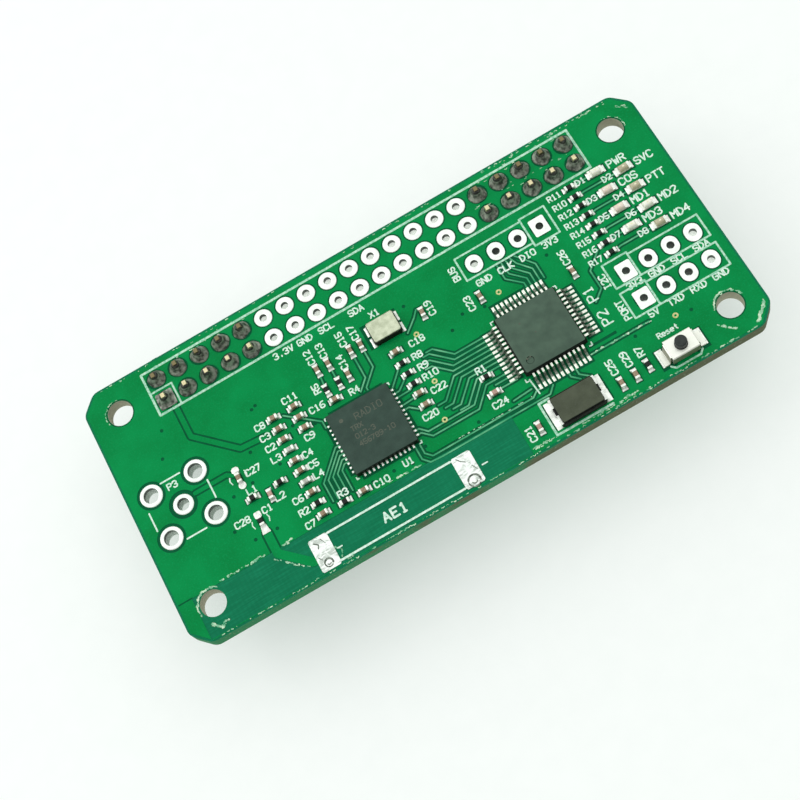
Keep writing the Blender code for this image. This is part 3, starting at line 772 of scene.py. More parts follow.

# %% [markdown]
# ## Plated holes
# Each free hole is an eyelet: a tube of plated copper through the board with a round land on both sides.
# It is one closed profile, turned around the hole's axis, with one slot for the land and one for the tube.
# Below its upper rim the tube gets a band of painted shade, a dark finish where no light from the lamps
# reaches. Deeper down, light that comes up from the floor bounces about in a bright tube, and the tube's own
# faint glow is painted light that stands for it. Most service holes look down onto the shaded floor under the
# board, so their whole tube gets the painted shade; three of them see lit floor and get the bright, glowing
# tube.

# %% Eyelets
TIN_SLOT, PAINTED_SHADE_SLOT, BRIGHT_SLOT, GREY_SLOT = range(4)
# DARK_BAND is how deep the painted shade reaches below a tube's rim.
DARK_BAND = 0.55


def eyelet(hole, pad):
    """The profile of a plated hole: a thin tube with a rounded land on both faces."""
    bore = hole - (0.09 if hole < 0.6 else 0.035)
    over, under = TOP + 0.03, UNDER - 0.03
    return [(bore, under - 0.01), (bore, over - DARK_BAND), (bore, over + 0.01), (hole + 0.05, over + 0.045),
            (0.4 * hole + 0.6 * pad, over + 0.045), (pad - 0.04, over + 0.02), (pad, TOP),
            (hole + 0.02, TOP), (hole + 0.02, UNDER), (pad, UNDER), (pad - 0.04, under - 0.02),
            (0.4 * hole + 0.6 * pad, under - 0.045), (hole + 0.05, under - 0.045)]


# Service holes that see lit floor get the bright tube; the rest get painted shade all the way down.
pale_places = (DEBUG_ROW[0], PORT_ROWS[0][3], PORT_ROWS[1][3])
free_holes = [(x, y, PIN_HOLE, 0.98, BRIGHT_SLOT) for x, y, done in header_pins if not done]
free_holes += [(x, y, PIN_HOLE, 0.86, BRIGHT_SLOT if (x, y) in pale_places else PAINTED_SHADE_SLOT)
               for x, y, _ in service_pads]
free_holes += [(x, y, COAX_LEG_HOLE, 1.22, GREY_SLOT) for x, y in coax_legs]
free_holes.append((*COAX_MIDDLE, COAX_HOLE, 1.1, GREY_SLOT))
# A dark tube that is painted shade, and a bright one whose faint glow is painted light.
painted_shade_bore = mottled("bore_in_painted_shade", (0.045, 0.055, 0.048), (0.16, 0.18, 0.16), 3.0, (0.4, 0.6), 0.02, 0.6)
bright_bore = mottled("bright_bore", (0.86, 0.88, 0.84), (0.96, 0.97, 0.94), 3.0, (0.3, 0.5), 0.01, 0.1,
                      Emission_Color=(0.95, 1.0, 0.96, 1.0), Emission_Strength=0.16)
grey_bore = mottled("grey_bore", (0.4, 0.47, 0.42), (0.6, 0.66, 0.6), 3.0, (0.4, 0.6), 0.01, 0.2)
eyelets = bmesh.new()
for x, y, hole, pad, bore_slot in free_holes:
    profile = eyelet(hole, pad)
    slots = [bore_slot, PAINTED_SHADE_SLOT] + [TIN_SLOT] * (len(profile) - 2)
    add_turned(eyelets, profile, (x, y), 32, None, slots)
piece_from("plated_holes", eyelets, [tin, painted_shade_bore, bright_bore, grey_bore], smooth=40)

# %% [markdown]
# The service holes have longer lands than the eyelets give, and the first of each row has a square one, so
# that the row's start can be told. These lands are slabs with a round hole, one on each face of the board.

# %% Service lands


def corner_cut(left, low, right, high, ease=0.12):
    """A rectangle with its corners cut, as an etched pad has."""
    return [(left + ease, low), (right - ease, low), (right, low + ease), (right, high - ease),
            (right - ease, high), (left + ease, high), (left, high - ease), (left, low + ease)]


lands = bmesh.new()
for x, y, first in service_pads:
    if first:
        land = corner_cut(x - 0.86, y - 1.02, x + 0.86, y + 1.02)
    else:
        land = capsule((x, y - 0.16), (x, y + 0.16), 1.72, 12)
    for low, high in ((TOP, TOP + 0.06), (UNDER - 0.06, UNDER)):
        add_slab(lands, flat_region([land], [ring_points((x, y), PIN_HOLE, 32)]), low, high)
piece_from("service_lands", lands, [tin])

# %% [markdown]
# ## Soldered pins
# Ten columns of the header carry sockets below. On top their pins stick out of cones of solder, hand made
# and none like its neighbour. A turned profile with a hollow flank gives the cone, and a few random waves
# around the axis and a random height make each one its own. The cones are painted dark grey, as painted
# shade, their upper parts are nearly black, and the first pin's cone stands on a square land.

# %% Solder cones
rng = random.Random(11)
cones = bmesh.new()
for x, y, done in header_pins:
    if not done:
        continue
    height = rng.uniform(1.0, 1.28)
    waves = [(n, rng.uniform(0.015, 0.05), rng.uniform(0, 6.28)) for n in (2, 3, 5)]
    lean_x, lean_y = rng.uniform(-0.06, 0.06), rng.uniform(-0.06, 0.06)

    def ripple(angle, waves=waves):
        return 1.0 + sum(a * math.sin(n * angle + p) for n, a, p in waves)

    flank = [(0.96, TOP), (0.95, TOP + 0.05), (0.86, TOP + 0.13), (0.7, TOP + 0.3 * height),
             (0.56, TOP + 0.52 * height), (0.46, TOP + 0.78 * height), (0.39, TOP + 0.95 * height),
             (0.3, TOP + height), (0.15, TOP + height - 0.02), (0.15, TOP)]
    add_turned(cones, flank, (x + lean_x, y + lean_y), 20, ripple, [0, 0, 0, 0, 0, 1, 1, 1, 1, 1])
    lower = [(0.9, UNDER), (0.86, UNDER - 0.03), (0.52, UNDER - 0.035), (0.52, UNDER)]
    add_turned(cones, lower, (x, y), 20)
first_x, first_y = PIN_ONE
add_slab(cones, flat_region([corner_cut(first_x - 0.95, first_y - 0.95, first_x + 0.95, first_y + 0.95)]),
         TOP, TOP + 0.09)
piece_from("header_pin_solder", cones, [pin_solder_painted_shade, nearly_black_cone_top], smooth=50)

# %% [markdown]
# ## Antenna pads, and pads of the larger parts
# The two big pads at the antenna's place are bare, scuffed tin, with a ring pressed in near the board's edge
# where a wire antenna once stood. Other pads peep out from under the parts that sit on them.

# %% Antenna pads
antenna_pads = bmesh.new()
for left, right, low in ((-18.15, -16.05, -14.55), (-2.1, 0.0, -14.5)):
    add_slab(antenna_pads, flat_region([corner_cut(left, low, right, -10.95, 0.16)]), TOP, TOP + 0.07)
piece_from("antenna_pads", antenna_pads, [scuffed.material])

# %% [markdown]
# Burnt flux drew rings and short scratches on these pads. Painting them into the tin would tie its recipe to
# two places. As arcs and strokes of a dark slab, a few hundredths high, they stay with the pads' drawing.

# %% Marks on the antenna pads
RING_MARKS = (((-17.15, -13.85), 0.42), ((-1.0, -14.0), 0.62))
SCRATCHES = (
    (((-17.7, -11.4), (-17.3, -11.75), (-17.45, -12.1)), 0.12),
    (((-16.9, -11.3), (-16.6, -11.9)), 0.07),
    (((-1.6, -11.2), (-1.3, -11.6), (-0.9, -11.9)), 0.1),
    (((-0.5, -12.5), (-0.2, -13.1)), 0.09),
    (((-17.9, -12.9), (-17.6, -13.3)), 0.07),
)
burnt_flux = mottled("burnt_flux", (0.03, 0.04, 0.03), (0.26, 0.3, 0.25), 3.5, (0.45, 0.7), 0.02, 0.3)
marks = []
for middle, radius in RING_MARKS:
    marks += chain(arc(middle, radius, -20, 160), 0.2, 3) + chain(arc(middle, radius, 175, 310), 0.13, 3)
    marks += chain(arc(middle, radius * 0.45, 200, 330), 0.12, 3)
for points, width in SCRATCHES:
    marks += chain(points, width, 3)
slab_piece("antenna_pad_marks", flat_region(marks), TOP + 0.05, TOP + 0.08, burnt_flux)

# %% [markdown]
# ## Solder that climbs
# Melted solder wets a pad and climbs the end of the part that sits on it, in a hollow curve. A grid with a
# height for each point gives that shape, and a flat copy below with walls between closes it. Each kind of
# joint then only needs a short function of two numbers, from -1 to 1 across the pad.

# %% Solder mounds


def add_mound(shape, frame_at, half_x, half_y, height_at, floor, material=0, cells=(8, 6)):
    """A closed lump on a grid: height_at(u, v) for u and v from -1 to 1; frame_at places a point."""
    columns, rows = cells
    levels = []
    for top in (False, True):
        level = []
        for i in range(columns + 1):
            for j in range(rows + 1):
                u, v = 2 * i / columns - 1, 2 * j / rows - 1
                x, y = frame_at(u * half_x, v * half_y)
                z = floor + (height_at(u, v) if top else 0.0)
                level.append(shape.verts.new((x * MM, y * MM, z * MM)))
        levels.append(level)
    bottom, upper = levels

    def at(i, j):
        return i * (rows + 1) + j

    faces = []
    for i in range(columns):
        for j in range(rows):
            square = (at(i, j), at(i + 1, j), at(i + 1, j + 1), at(i, j + 1))
            faces.append(shape.faces.new([upper[k] for k in square]))
            faces.append(shape.faces.new([bottom[k] for k in reversed(square)]))
    rim = [at(i, 0) for i in range(columns)] + [at(columns, j) for j in range(rows)]
    rim += [at(i, rows) for i in range(columns, 0, -1)] + [at(0, j) for j in range(rows, 0, -1)]
    for a, b in zip(rim, rim[1:] + rim[:1]):
        faces.append(shape.faces.new((bottom[a], bottom[b], upper[b], upper[a])))
    for face in faces:
        face.material_index = material


def placed(x, y, turn):
    """Returns a function that turns a local point and moves it to x, y."""
    c, s = math.cos(turn), math.sin(turn)
    return lambda u, v: (x + u * c - v * s, y + u * s + v * c)


def rim_drop(u, v, sharp=6):
    """1 in the middle of a pad, 0 at its rim, with rounded shoulders."""
    return (1 - abs(u) ** sharp) * (1 - abs(v) ** sharp)


print("a mound is", rim_drop(0, 0), "high in the middle and", rim_drop(1, 0), "at its rim")

# %% [markdown]
# ## Chip parts
# A chip part is a fired ceramic bar with tinned ends. Resistors are black glass on white ceramic,
# capacitors are tan or pinkish, inductors pale. Each lies on two pads, and the solder climbs its ends in a
# hollow curve. All of that is one piece per part, with a random nudge, because parts swim a little while
# the solder is liquid.

# %% Chip part finishes
resistor_glass = mottled("resistor_glass", (0.006, 0.007, 0.006), (0.025, 0.027, 0.024), 7.0, (0.25, 0.42),
                         0.006, Specular_IOR_Level=0.15)
capacitor_tan = mottled("capacitor_tan_ceramic", (0.2, 0.13, 0.075), (0.36, 0.26, 0.17), 6.0, (0.42, 0.6),
                        0.006)
capacitor_pink = mottled("capacitor_pink_ceramic", (0.36, 0.2, 0.16), (0.52, 0.34, 0.28), 6.0, (0.42, 0.6),
                         0.006)
inductor_pale = mottled("inductor_pale_ceramic", (0.33, 0.34, 0.3), (0.55, 0.56, 0.5), 6.0, (0.4, 0.6), 0.006)
end_tin = mottled("tinned_end_cap", (0.72, 0.73, 0.67), (0.93, 0.94, 0.88), 5.0, (0.25, 0.45), 0.008, 0.5)

BODY_FINISH = {"resistor": resistor_glass, "capacitor": capacitor_tan, "inductor": inductor_pale}
ODD_FINISH = {"matching_inductor_1": resistor_glass, "matching_inductor_2": resistor_glass,
              "bypass_capacitor_9": capacitor_pink, "bypass_capacitor_upright_9": capacitor_pink,
              "bypass_capacitor_upright_12": capacitor_pink}

# %% One chip part


def add_block(shape, frame_at, size, low, material, ease=0.05, middle=(0.0, 0.0)):
    """A block with eased edges, its underside at low."""
    made = bmesh.ops.create_cube(shape, size=1.0)
    verts = made["verts"]
    for vert in verts:
        x, y = middle[0] + vert.co.x * size[0], middle[1] + vert.co.y * size[1]
        vert.co = Vector((x, y, low + (vert.co.z + 0.5) * size[2]))
    edges = list(dict.fromkeys(edge for vert in verts for edge in vert.link_edges))
    made = bmesh.ops.bevel(shape, geom=edges, offset=ease, segments=2, profile=0.6, affect="EDGES")
    done = {vert for face in made["faces"] for vert in face.verts}
    for vert in done:
        x, y = frame_at(vert.co.x, vert.co.y)
        vert.co = Vector((x * MM, y * MM, vert.co.z * MM))
    for face in {face for vert in done for face in vert.link_faces}:
        face.material_index = material


PART_HEIGHT = {"resistor": 0.35, "capacitor": 0.5, "inductor": 0.46}
REST_GAP = 0.04
PACK_LOW = TOP + REST_GAP
LONG_PADS = {"antenna_capacitor_soldered", "bias_resistor_upright_4"}


def chip_part(name, kind, x, y, upright, body_finish):
    """A chip part of about 1.0 x 0.5 mm with its pads and solder."""
    rng = random.Random(name)
    turn = (math.pi / 2 if upright else 0.0) + rng.uniform(-0.04, 0.04)
    frame_at = placed(x + rng.uniform(-0.02, 0.02), y + rng.uniform(-0.02, 0.02), turn)
    height = PART_HEIGHT[kind]
    shape = bmesh.new()
    add_block(shape, frame_at, (0.62, 0.46, height - 0.03), PACK_LOW + 0.01, 0, 0.035)
    for side in (-1, 1):
        add_block(shape, frame_at, (0.25, 0.5, height), PACK_LOW, 1, 0.05, (side * 0.38, 0.0))
        bulge = rng.uniform(0.6, 0.9)
        reach = rng.uniform(0.14, 0.18) + (0.15 if name in LONG_PADS else 0.0)

        def climb(u, v, side=side, bulge=bulge):
            near = (1 - side * u) / 2
            slope = bulge * height * near**2.6 * (1 - 0.6 * v * v) * (1 - abs(v) ** 8)
            return 0.05 * rim_drop(u, v) + slope + 0.02

        pad_at = placed(*frame_at(side * (0.46 + reach), 0.0), turn)
        add_mound(shape, pad_at, reach, 0.31, climb, TOP, 2)
    return piece_from(name, shape, [body_finish, end_tin, solder], smooth=35)


print("tallest chip part", max(PART_HEIGHT.values()), "mm")

# %% All chip parts
for index, (name, kind, x, y, upright) in enumerate(small_parts):
    body_finish = ODD_FINISH.get(name, BODY_FINISH[kind])
    in_frame = index < FRAME_PARTS
    part = chip_part(f"{name}_soldered" if in_frame else name, kind, x, y, upright, body_finish)
    if in_frame:
        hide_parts(name)

# %% [markdown]
# Two parts choose which antenna the board uses, and the places beside them are empty: bare pads with solder
# on them. Their outlines are plain polygons, so slabs are enough.

# %% Broad pads at the antenna switch
SWITCH_PADS = (
    corner_cut(-21.6, -6.2, -20.85, -5.5),
    [(-21.65, -8.0), (-20.75, -8.0), (-20.92, -7.05), (-21.48, -7.05)],
    corner_cut(-21.6, -0.85, -20.8, -0.15, 0.2),
)
RING_AT = (-21.2, -2.3)
broad_pads = bmesh.new()
for pad in SWITCH_PADS:
    add_slab(broad_pads, flat_region([pad]), TOP, TOP + 0.1)
ring = flat_region([ring_points(RING_AT, 0.4, 24)], [ring_points(RING_AT, 0.17, 16)])
add_slab(broad_pads, ring, TOP, TOP + 0.13)
piece_from("antenna_switch_pads", broad_pads, [solder])

# %% [markdown]
# ## Indicator lamps
# A lamp of this size is a thin white laminate base with gilded ends and a clear resin block over the light
# chip. Unlit, the resin looks creamy, since the phosphor and the white base show through it. The block is
# cast, so its flanks lean inwards a little.

# %% Lamp finishes


def cast_resin(name, deep, pale):
    """Hazy resin that light enters a little way."""
    resin = Finish(name, pale, 0.18, Subsurface_Weight=0.25, Subsurface_Radius=(0.0006, 0.0006, 0.0004),
                   Coat_Weight=0.3)
    haze = resin.noise(2.2, 3.0)
    resin.colour(resin.mix(haze, deep, pale))
    resin.bump(haze, 0.01)
    return resin.material


clear_resin = cast_resin("lamp_resin_clear", (0.74, 0.74, 0.6), (0.93, 0.93, 0.84))
rosy_resin = cast_resin("lamp_resin_rosy", (0.66, 0.52, 0.42), (0.88, 0.8, 0.7))
amber_resin = cast_resin("lamp_resin_amber", (0.36, 0.33, 0.2), (0.58, 0.54, 0.38))
lamp_resins = (clear_resin, amber_resin, rosy_resin, amber_resin,
               rosy_resin, clear_resin, clear_resin, amber_resin)
lamp_base = mottled("lamp_base_laminate", (0.62, 0.6, 0.5), (0.8, 0.78, 0.7), 6.0, (0.45, 0.6), 0.006)
phosphor = mottled("lamp_phosphor", (0.74, 0.68, 0.45), (0.86, 0.82, 0.62), 8.0, (0.5, 0.7), 0.01)

# %% [markdown]
# The base, the ends and the resin are all rounded rectangles that change size with height. A loft between
# such rectangles draws each of them, and the same loft makes the chips' mouldings later.

# %% Lofted blocks


def add_stack(shape, frame_at, stations, material, corner=0.06, steps=3):
    """A lofted block: stations are (height, half length, half width), joined by walls and closed."""
    rings = []
    for z, half_x, half_y in stations:
        ring = []
        quarter = ((1, 1, 0.0), (-1, 1, 0.5), (-1, -1, 1.0), (1, -1, 1.5))
        for sx, sy, start in quarter:
            for i in range(steps + 1):
                angle = math.pi * (start + 0.5 * i / steps)
                u = sx * (half_x - corner) + corner * math.cos(angle)
                v = sy * (half_y - corner) + corner * math.sin(angle)
                x, y = frame_at(u, v)
                ring.append(shape.verts.new((x * MM, y * MM, z * MM)))
        rings.append(ring)
    faces = [shape.faces.new(list(reversed(rings[0]))), shape.faces.new(rings[-1])]
    for ring, after in zip(rings, rings[1:]):
        for j in range(len(ring)):
            k = (j + 1) % len(ring)
            faces.append(shape.faces.new((ring[j], ring[k], after[k], after[j])))
    for face in faces:
        face.material_index = material
    return rings


def above(stations, low=PACK_LOW):
    """Stations whose heights are counted from the underside of a part."""
    return [(low + z, half_x, half_y) for z, half_x, half_y in stations]


trial = bmesh.new()
add_stack(trial, placed(0.0, 0.0, 0.0), above([(0.0, 1.0, 1.0), (1.0, 1.0, 1.0)]), 0)
print("a plain lofted block has", len(trial.faces), "faces")
trial.free()

# %% Lamps
LAMP_BASE = [(0.0, 0.74, 0.4), (0.22, 0.74, 0.4)]
LAMP_END = [(-0.005, 0.14, 0.405), (0.25, 0.14, 0.405)]
LAMP_RESIN = [(0.2, 0.51, 0.385), (0.32, 0.51, 0.37), (0.46, 0.49, 0.32), (0.56, 0.45, 0.25),
              (0.62, 0.38, 0.14)]
LIGHT_CHIP = [(0.6, 0.13, 0.1), (0.625, 0.11, 0.08)]
for number, (x, y) in enumerate(lamps, start=1):
    rng = random.Random(number)
    turn = rng.uniform(-0.05, 0.05)
    frame_at = placed(x, y, turn)
    lamp = bmesh.new()
    add_stack(lamp, frame_at, above(LAMP_BASE), 0)
    for side in (-1, 1):
        add_stack(lamp, placed(*frame_at(side * 0.66, 0.0), turn), above(LAMP_END), 3)
    add_stack(lamp, frame_at, above(LAMP_RESIN), 1, 0.05)
    add_stack(lamp, placed(*frame_at(0.05, 0.0), turn), above(LIGHT_CHIP), 2, 0.05)
    for side in (-1, 1):
        pad_at = placed(*frame_at(side * 0.84, 0.0), turn)

        def lamp_fillet(u, v, side=side):
            near = (1 - side * u) / 2
            return 0.04 + 0.17 * near**1.6 * (1 - abs(v) ** 8) + 0.03 * rim_drop(u, v)

        add_mound(lamp, pad_at, 0.2, 0.4, lamp_fillet, TOP, 4)
    finishes = [lamp_base, lamp_resins[number - 1], phosphor, end_tin, solder]
    lamp_piece = piece_from(f"indicator_lamp_{number}_soldered", lamp, finishes, smooth=35)
    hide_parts(f"indicator_lamp_{number}")

# %% [markdown]
# ## The controller
# A flat pack of 48 leads: a moulding of black epoxy, split around its middle where the mould halves meet,
# and gull wing leads of tinned copper that step down to the board. The moulding is a loft of rounded squares
# whose flanks lean; its top has a small round dimple at pin one. Epoxy is filled with glass powder, so it is
# dull, grey in a low light, with a fine grain.

# %% Moulding finishes
# SHADED_WALL is painted shade: every wall of a moulding gets this near black, whatever light reaches it.
SHADED_WALL = (0.006, 0.008, 0.007)


def moulding(name, dark, light, grain_per_mm, roughness):
    """Filled epoxy: wiped tones with bright grains on top, and walls in painted shade, nearly black."""
    finish = Finish(name, dark, roughness[0], Specular_IOR_Level=0.2)
    grain = finish.noise(grain_per_mm, 5.0)
    cloud = finish.noise(0.9, 5.0)
    wiped = finish.mix(finish.step(cloud, 0.1, 0.95), dark, light)
    powder = tuple(0.55 * v + 0.03 for v in light)
    face = finish.mix(finish.step(grain, 0.55, 0.75), wiped, powder)
    # Painted shade on the walls, the epoxy's own tones on the flat tops.
    finish.colour(finish.mix(finish.step(finish.upward(), 0.6, 0.95), SHADED_WALL, face))
    finish.roughness(grain, *roughness)
    finish.bump(grain, 0.006)
    return finish.material


controller_epoxy = moulding("controller_epoxy", (0.041, 0.076, 0.053), (0.075, 0.13, 0.089), 14.0,
                            (0.32, 0.5))
chip_epoxy = moulding("transceiver_epoxy", (0.018, 0.041, 0.03), (0.037, 0.073, 0.055), 16.0, (0.36, 0.55))
engraving = mottled("laser_engraving", (0.04, 0.055, 0.036), (0.085, 0.1, 0.07), 9.0, (0.55, 0.7), 0.004)

# %% [markdown]
# The dimple at pin one marks which way round the chip goes. Cutting it with a boolean would leave a messy
# top. Here the top is triangulated around a circle, the same way as the copper, and the circle gets a short
# wall and a floor.

# %% A face with a dimple


def add_face_with_dimple(shape, ring, dimple, radius, depth, z, material):
    """Closes a ring of corners with a flat face that has a round dimple in it."""
    outline_points = [Vector((v.co.x / MM, v.co.y / MM)) for v in ring]
    circle = [Vector(p) for p in ring_points(dimple, radius, 24)]
    faces = [list(range(len(ring))), list(range(len(ring), len(ring) + len(circle)))]
    cut = delaunay_2d_cdt(outline_points + circle, [], faces, 1, 1e-6)
    where = {}
    for index, sources in enumerate(cut[3]):
        for source in sources:
            if source < len(ring):
                where[index] = ring[source]
    made = []
    for index, point in enumerate(cut[0]):
        if index not in where:
            where[index] = shape.verts.new((point.x * MM, point.y * MM, z * MM))
    rim = [None] * len(circle)
    for index, sources in enumerate(cut[3]):
        for source in sources:
            if source >= len(ring):
                rim[source - len(ring)] = where[index]
    for triangle, owners in zip(cut[2], cut[5]):
        if 1 not in owners:
            made.append(shape.faces.new([where[i] for i in triangle]))
    inner = [shape.verts.new((dimple[0] * MM + (v.co.x - dimple[0] * MM) * 0.86,
                              dimple[1] * MM + (v.co.y - dimple[1] * MM) * 0.86,
                              (z - depth) * MM)) for v in rim]
    for j in range(len(rim)):
        k = (j + 1) % len(rim)
        made.append(shape.faces.new((rim[j], rim[k], inner[k], inner[j])))
    made.append(shape.faces.new(inner))
    for face in made:
        face.material_index = material
    print(len(made), "faces around the dimple")


# %% Controller moulding
PACK_HEIGHT = 1.15
PACK_FLANK = [(0.07, 3.3), (0.1, 3.34), (0.56, 3.46), (0.6, 3.48), (0.66, 3.46), (1.08, 3.33), (1.13, 3.3),
              (PACK_HEIGHT, 3.26)]
body = bmesh.new()
at_controller = placed(CONTROLLER.x, CONTROLLER.y, 0.0)
rings = add_stack(body, at_controller, above((z, half, half) for z, half in PACK_FLANK), 0, 0.16, 4)
for face in list(rings[-1][0].link_faces):
    if len(face.verts) == len(rings[-1]):
        body.faces.remove(face)
dimple = (CONTROLLER.x - 2.35, CONTROLLER.y - 2.3)
add_face_with_dimple(body, rings[-1], dimple, 0.42, 0.07, PACK_LOW + PACK_HEIGHT, 0)
controller = piece_from("controller_moulding", body, [controller_epoxy], smooth=35)
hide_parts("microcontroller")

# %% [markdown]
# A gull wing lead leaves the moulding at half height, steps down and ends in a flat foot. One path drawn from
# the side, with a width and a thickness, gives the strip, and a frame for each pin turns it to its side of
# the chip. The bend is a shaded tin, because it looks at the dark board and not at the lights.

# %% Controller leads
lead_tin = mottled("lead_tin", (0.74, 0.76, 0.66), (0.93, 0.94, 0.85), 6.0, (0.22, 0.4), 0.008, 0.5)
shaded_tin = mottled("lead_bend_tin", (0.07, 0.1, 0.07), (0.24, 0.28, 0.22), 6.0, (0.35, 0.5), 0.008, 0.4)
LEAD_PITCH = 0.5
LEAD_PATH = [(3.3, 0.62), (3.86, 0.62), (3.98, 0.54), (4.1, 0.16), (4.2, 0.08), (4.56, 0.06)]
LEAD_TONES = [0, 1, 1, 1, 1]


def add_lead(shape, frame_at, width, thick):
    """A flat strip that follows the gull wing path; frame_at takes outward and sideways distances."""
    stations = []
    for i, (out, z) in enumerate(LEAD_PATH):
        before = LEAD_PATH[max(i - 1, 0)]
        after = LEAD_PATH[min(i + 1, len(LEAD_PATH) - 1)]
        slope = math.atan2(after[1] - before[1], after[0] - before[0])
        ring = []
        for side, level in ((-1, -1), (1, -1), (1, 1), (-1, 1)):
            away = out - level * thick / 2 * math.sin(slope)
            height = PACK_LOW + z + level * thick / 2 * math.cos(slope)
            x, y = frame_at(away, side * width / 2)
            ring.append(shape.verts.new((x * MM, y * MM, height * MM)))
        stations.append(ring)
    shape.faces.new(stations[0])
    shape.faces.new(list(reversed(stations[-1]))).material_index = 1
    for ring, after, tone in zip(stations, stations[1:], LEAD_TONES):
        for j in range(4):
            k = (j + 1) % 4
            shape.faces.new((ring[j], after[j], after[k], ring[k])).material_index = tone


def side_frames(centre, count, pitch, reach=0.0):
    """Frames for the pins on four sides: outward is the local first axis."""
    for quarter in range(4):
        turn = quarter * math.pi / 2
        for i in range(count):
            along = (i - (count - 1) / 2) * pitch
            x = centre.x + reach * math.cos(turn) - along * math.sin(turn)
            y = centre.y + reach * math.sin(turn) + along * math.cos(turn)
            yield placed(x, y, turn)


leads = bmesh.new()
for frame_at in side_frames(CONTROLLER, 12, LEAD_PITCH):
    add_lead(leads, frame_at, 0.22, 0.12)
piece_from("controller_leads", leads, [lead_tin, shaded_tin], smooth=40)

# %% [markdown]
# Each lead's pad has two lumps of solder: a low one in the shade under the bend, and a bright one at the toe.
# Both are mounds with the same height function, a small wave from heel to toe.

# %% Controller pads


def lead_solder(u, v):
    """The height of the solder from the heel, u = -1, to the toe, u = 1."""
    heel = max(0.0, -u) ** 2 * 0.1
    toe = max(0.0, 1 - abs(u - 0.25) * 2.2) * 0.06
    return 0.045 + (heel + toe) * (1 - v * v) + 0.015 * rim_drop(u, v)


pads = bmesh.new()
for frame_at in side_frames(CONTROLLER, 12, LEAD_PITCH, 4.2):
    add_mound(pads, frame_at, 0.32, 0.13, lead_solder, TOP, 1, (5, 4))
for frame_at in side_frames(CONTROLLER, 12, LEAD_PITCH, 4.78):
    add_mound(pads, frame_at, 0.3, 0.14, lead_solder, TOP, 0, (6, 4))
piece_from("controller_pads", pads, [lead_tin, shaded_tin], smooth=45)

# %% [markdown]
# ## The radio chip
# This pack has no leads at all. It was sawn from a larger moulded sheet, so its walls are upright and its
# edges crisp, and cut ends of the copper frame show low on its walls. Solder creeps up them from the pads.
# The frame's solid has the right shape; it gets a material and a fine bevel, and the copper ends and pads
# are new.

# %% Radio chip


def ease_edges(node, width_mm, segments=2, angle=35):
    """Rounds a solid's edges with modifiers, which leave its own mesh alone."""
    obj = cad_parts[node]
    weld = obj.modifiers.new("join_corners", "WELD")
    weld.merge_threshold = 0.000001
    bevel = obj.modifiers.new("eased_edges", "BEVEL")
    bevel.width = width_mm * MM
    bevel.segments = segments
    bevel.limit_method = "ANGLE"
    bevel.angle_limit = math.radians(angle)
    bevel.harden_normals = True
    return obj


finish_node("radio_transceiver", chip_epoxy)
ease_edges("radio_transceiver", 0.04)
terminals = bmesh.new()


def side_solder(u, v):
    near = (1 - u) / 2
    return 0.05 + 0.16 * near**2 * (1 - v * v)


for frame_at in side_frames(CHIP, 12, LEAD_PITCH, 3.5):
    add_stack(terminals, frame_at, [(TOP + 0.03, 0.012, 0.12), (TOP + 0.24, 0.012, 0.12)], 0, 0.01, 1)
for frame_at in side_frames(CHIP, 12, LEAD_PITCH, 3.63):
    add_mound(terminals, frame_at, 0.14, 0.11, side_solder, TOP, 1, (5, 4))
piece_from("transceiver_terminals", terminals, [lead_tin, solder], smooth=45)

# %% [markdown]
# ## Oscillator and crystal
# Both are ceramic boats with a lid. The oscillator's lid is a bright gold-nickel plate that mirrors the
# studio softly; the crystal's lid is dark glassy ceramic. Their terminals are broad pads of solder at the
# ends, and a small castellation leaves a dark notch in the middle of each.

# %% Oscillator and crystal
lid_plate = mottled("oscillator_lid_plate", (0.43, 0.47, 0.33), (0.62, 0.66, 0.49), 1.6, (0.25, 0.4), 0.01,
                    0.5)
boat_ceramic = mottled("oscillator_boat_ceramic", (0.004, 0.004, 0.004), (0.018, 0.016, 0.014), 5.0,
                       (0.4, 0.6), 0.01, Specular_IOR_Level=0.15)
crystal_boat = mottled("crystal_boat_ceramic", (0.004, 0.004, 0.004), (0.018, 0.018, 0.015), 5.0,
                       (0.4, 0.6), 0.01, Specular_IOR_Level=0.15)
# The crystal's lid is a moulding too, so its walls get the same painted shade.
crystal_lid = moulding("crystal_lid_ceramic", (0.045, 0.055, 0.032), (0.08, 0.095, 0.06), 7.0, (0.25, 0.45))
finish_node("oscillator_base", boat_ceramic)
finish_node("oscillator_lid", lid_plate)
finish_node("crystal_base", crystal_boat)
finish_node("crystal_lid", crystal_lid)
EASED = {"oscillator_base": 0.05, "oscillator_lid": 0.06, "crystal_base": 0.06, "crystal_lid": 0.08}
for node, width in EASED.items():
    ease_edges(node, width, 3)

# %% Solder of the oscillator and the crystal


def end_solder(height, side):
    """A height function for solder that climbs toward a part, which lies against side."""
    def climb(u, v):
        near = (1 - side * u) / 2
        return 0.06 + height * near**1.8 * (1 - abs(v) ** 6) + 0.03 * rim_drop(u, v)
    return climb


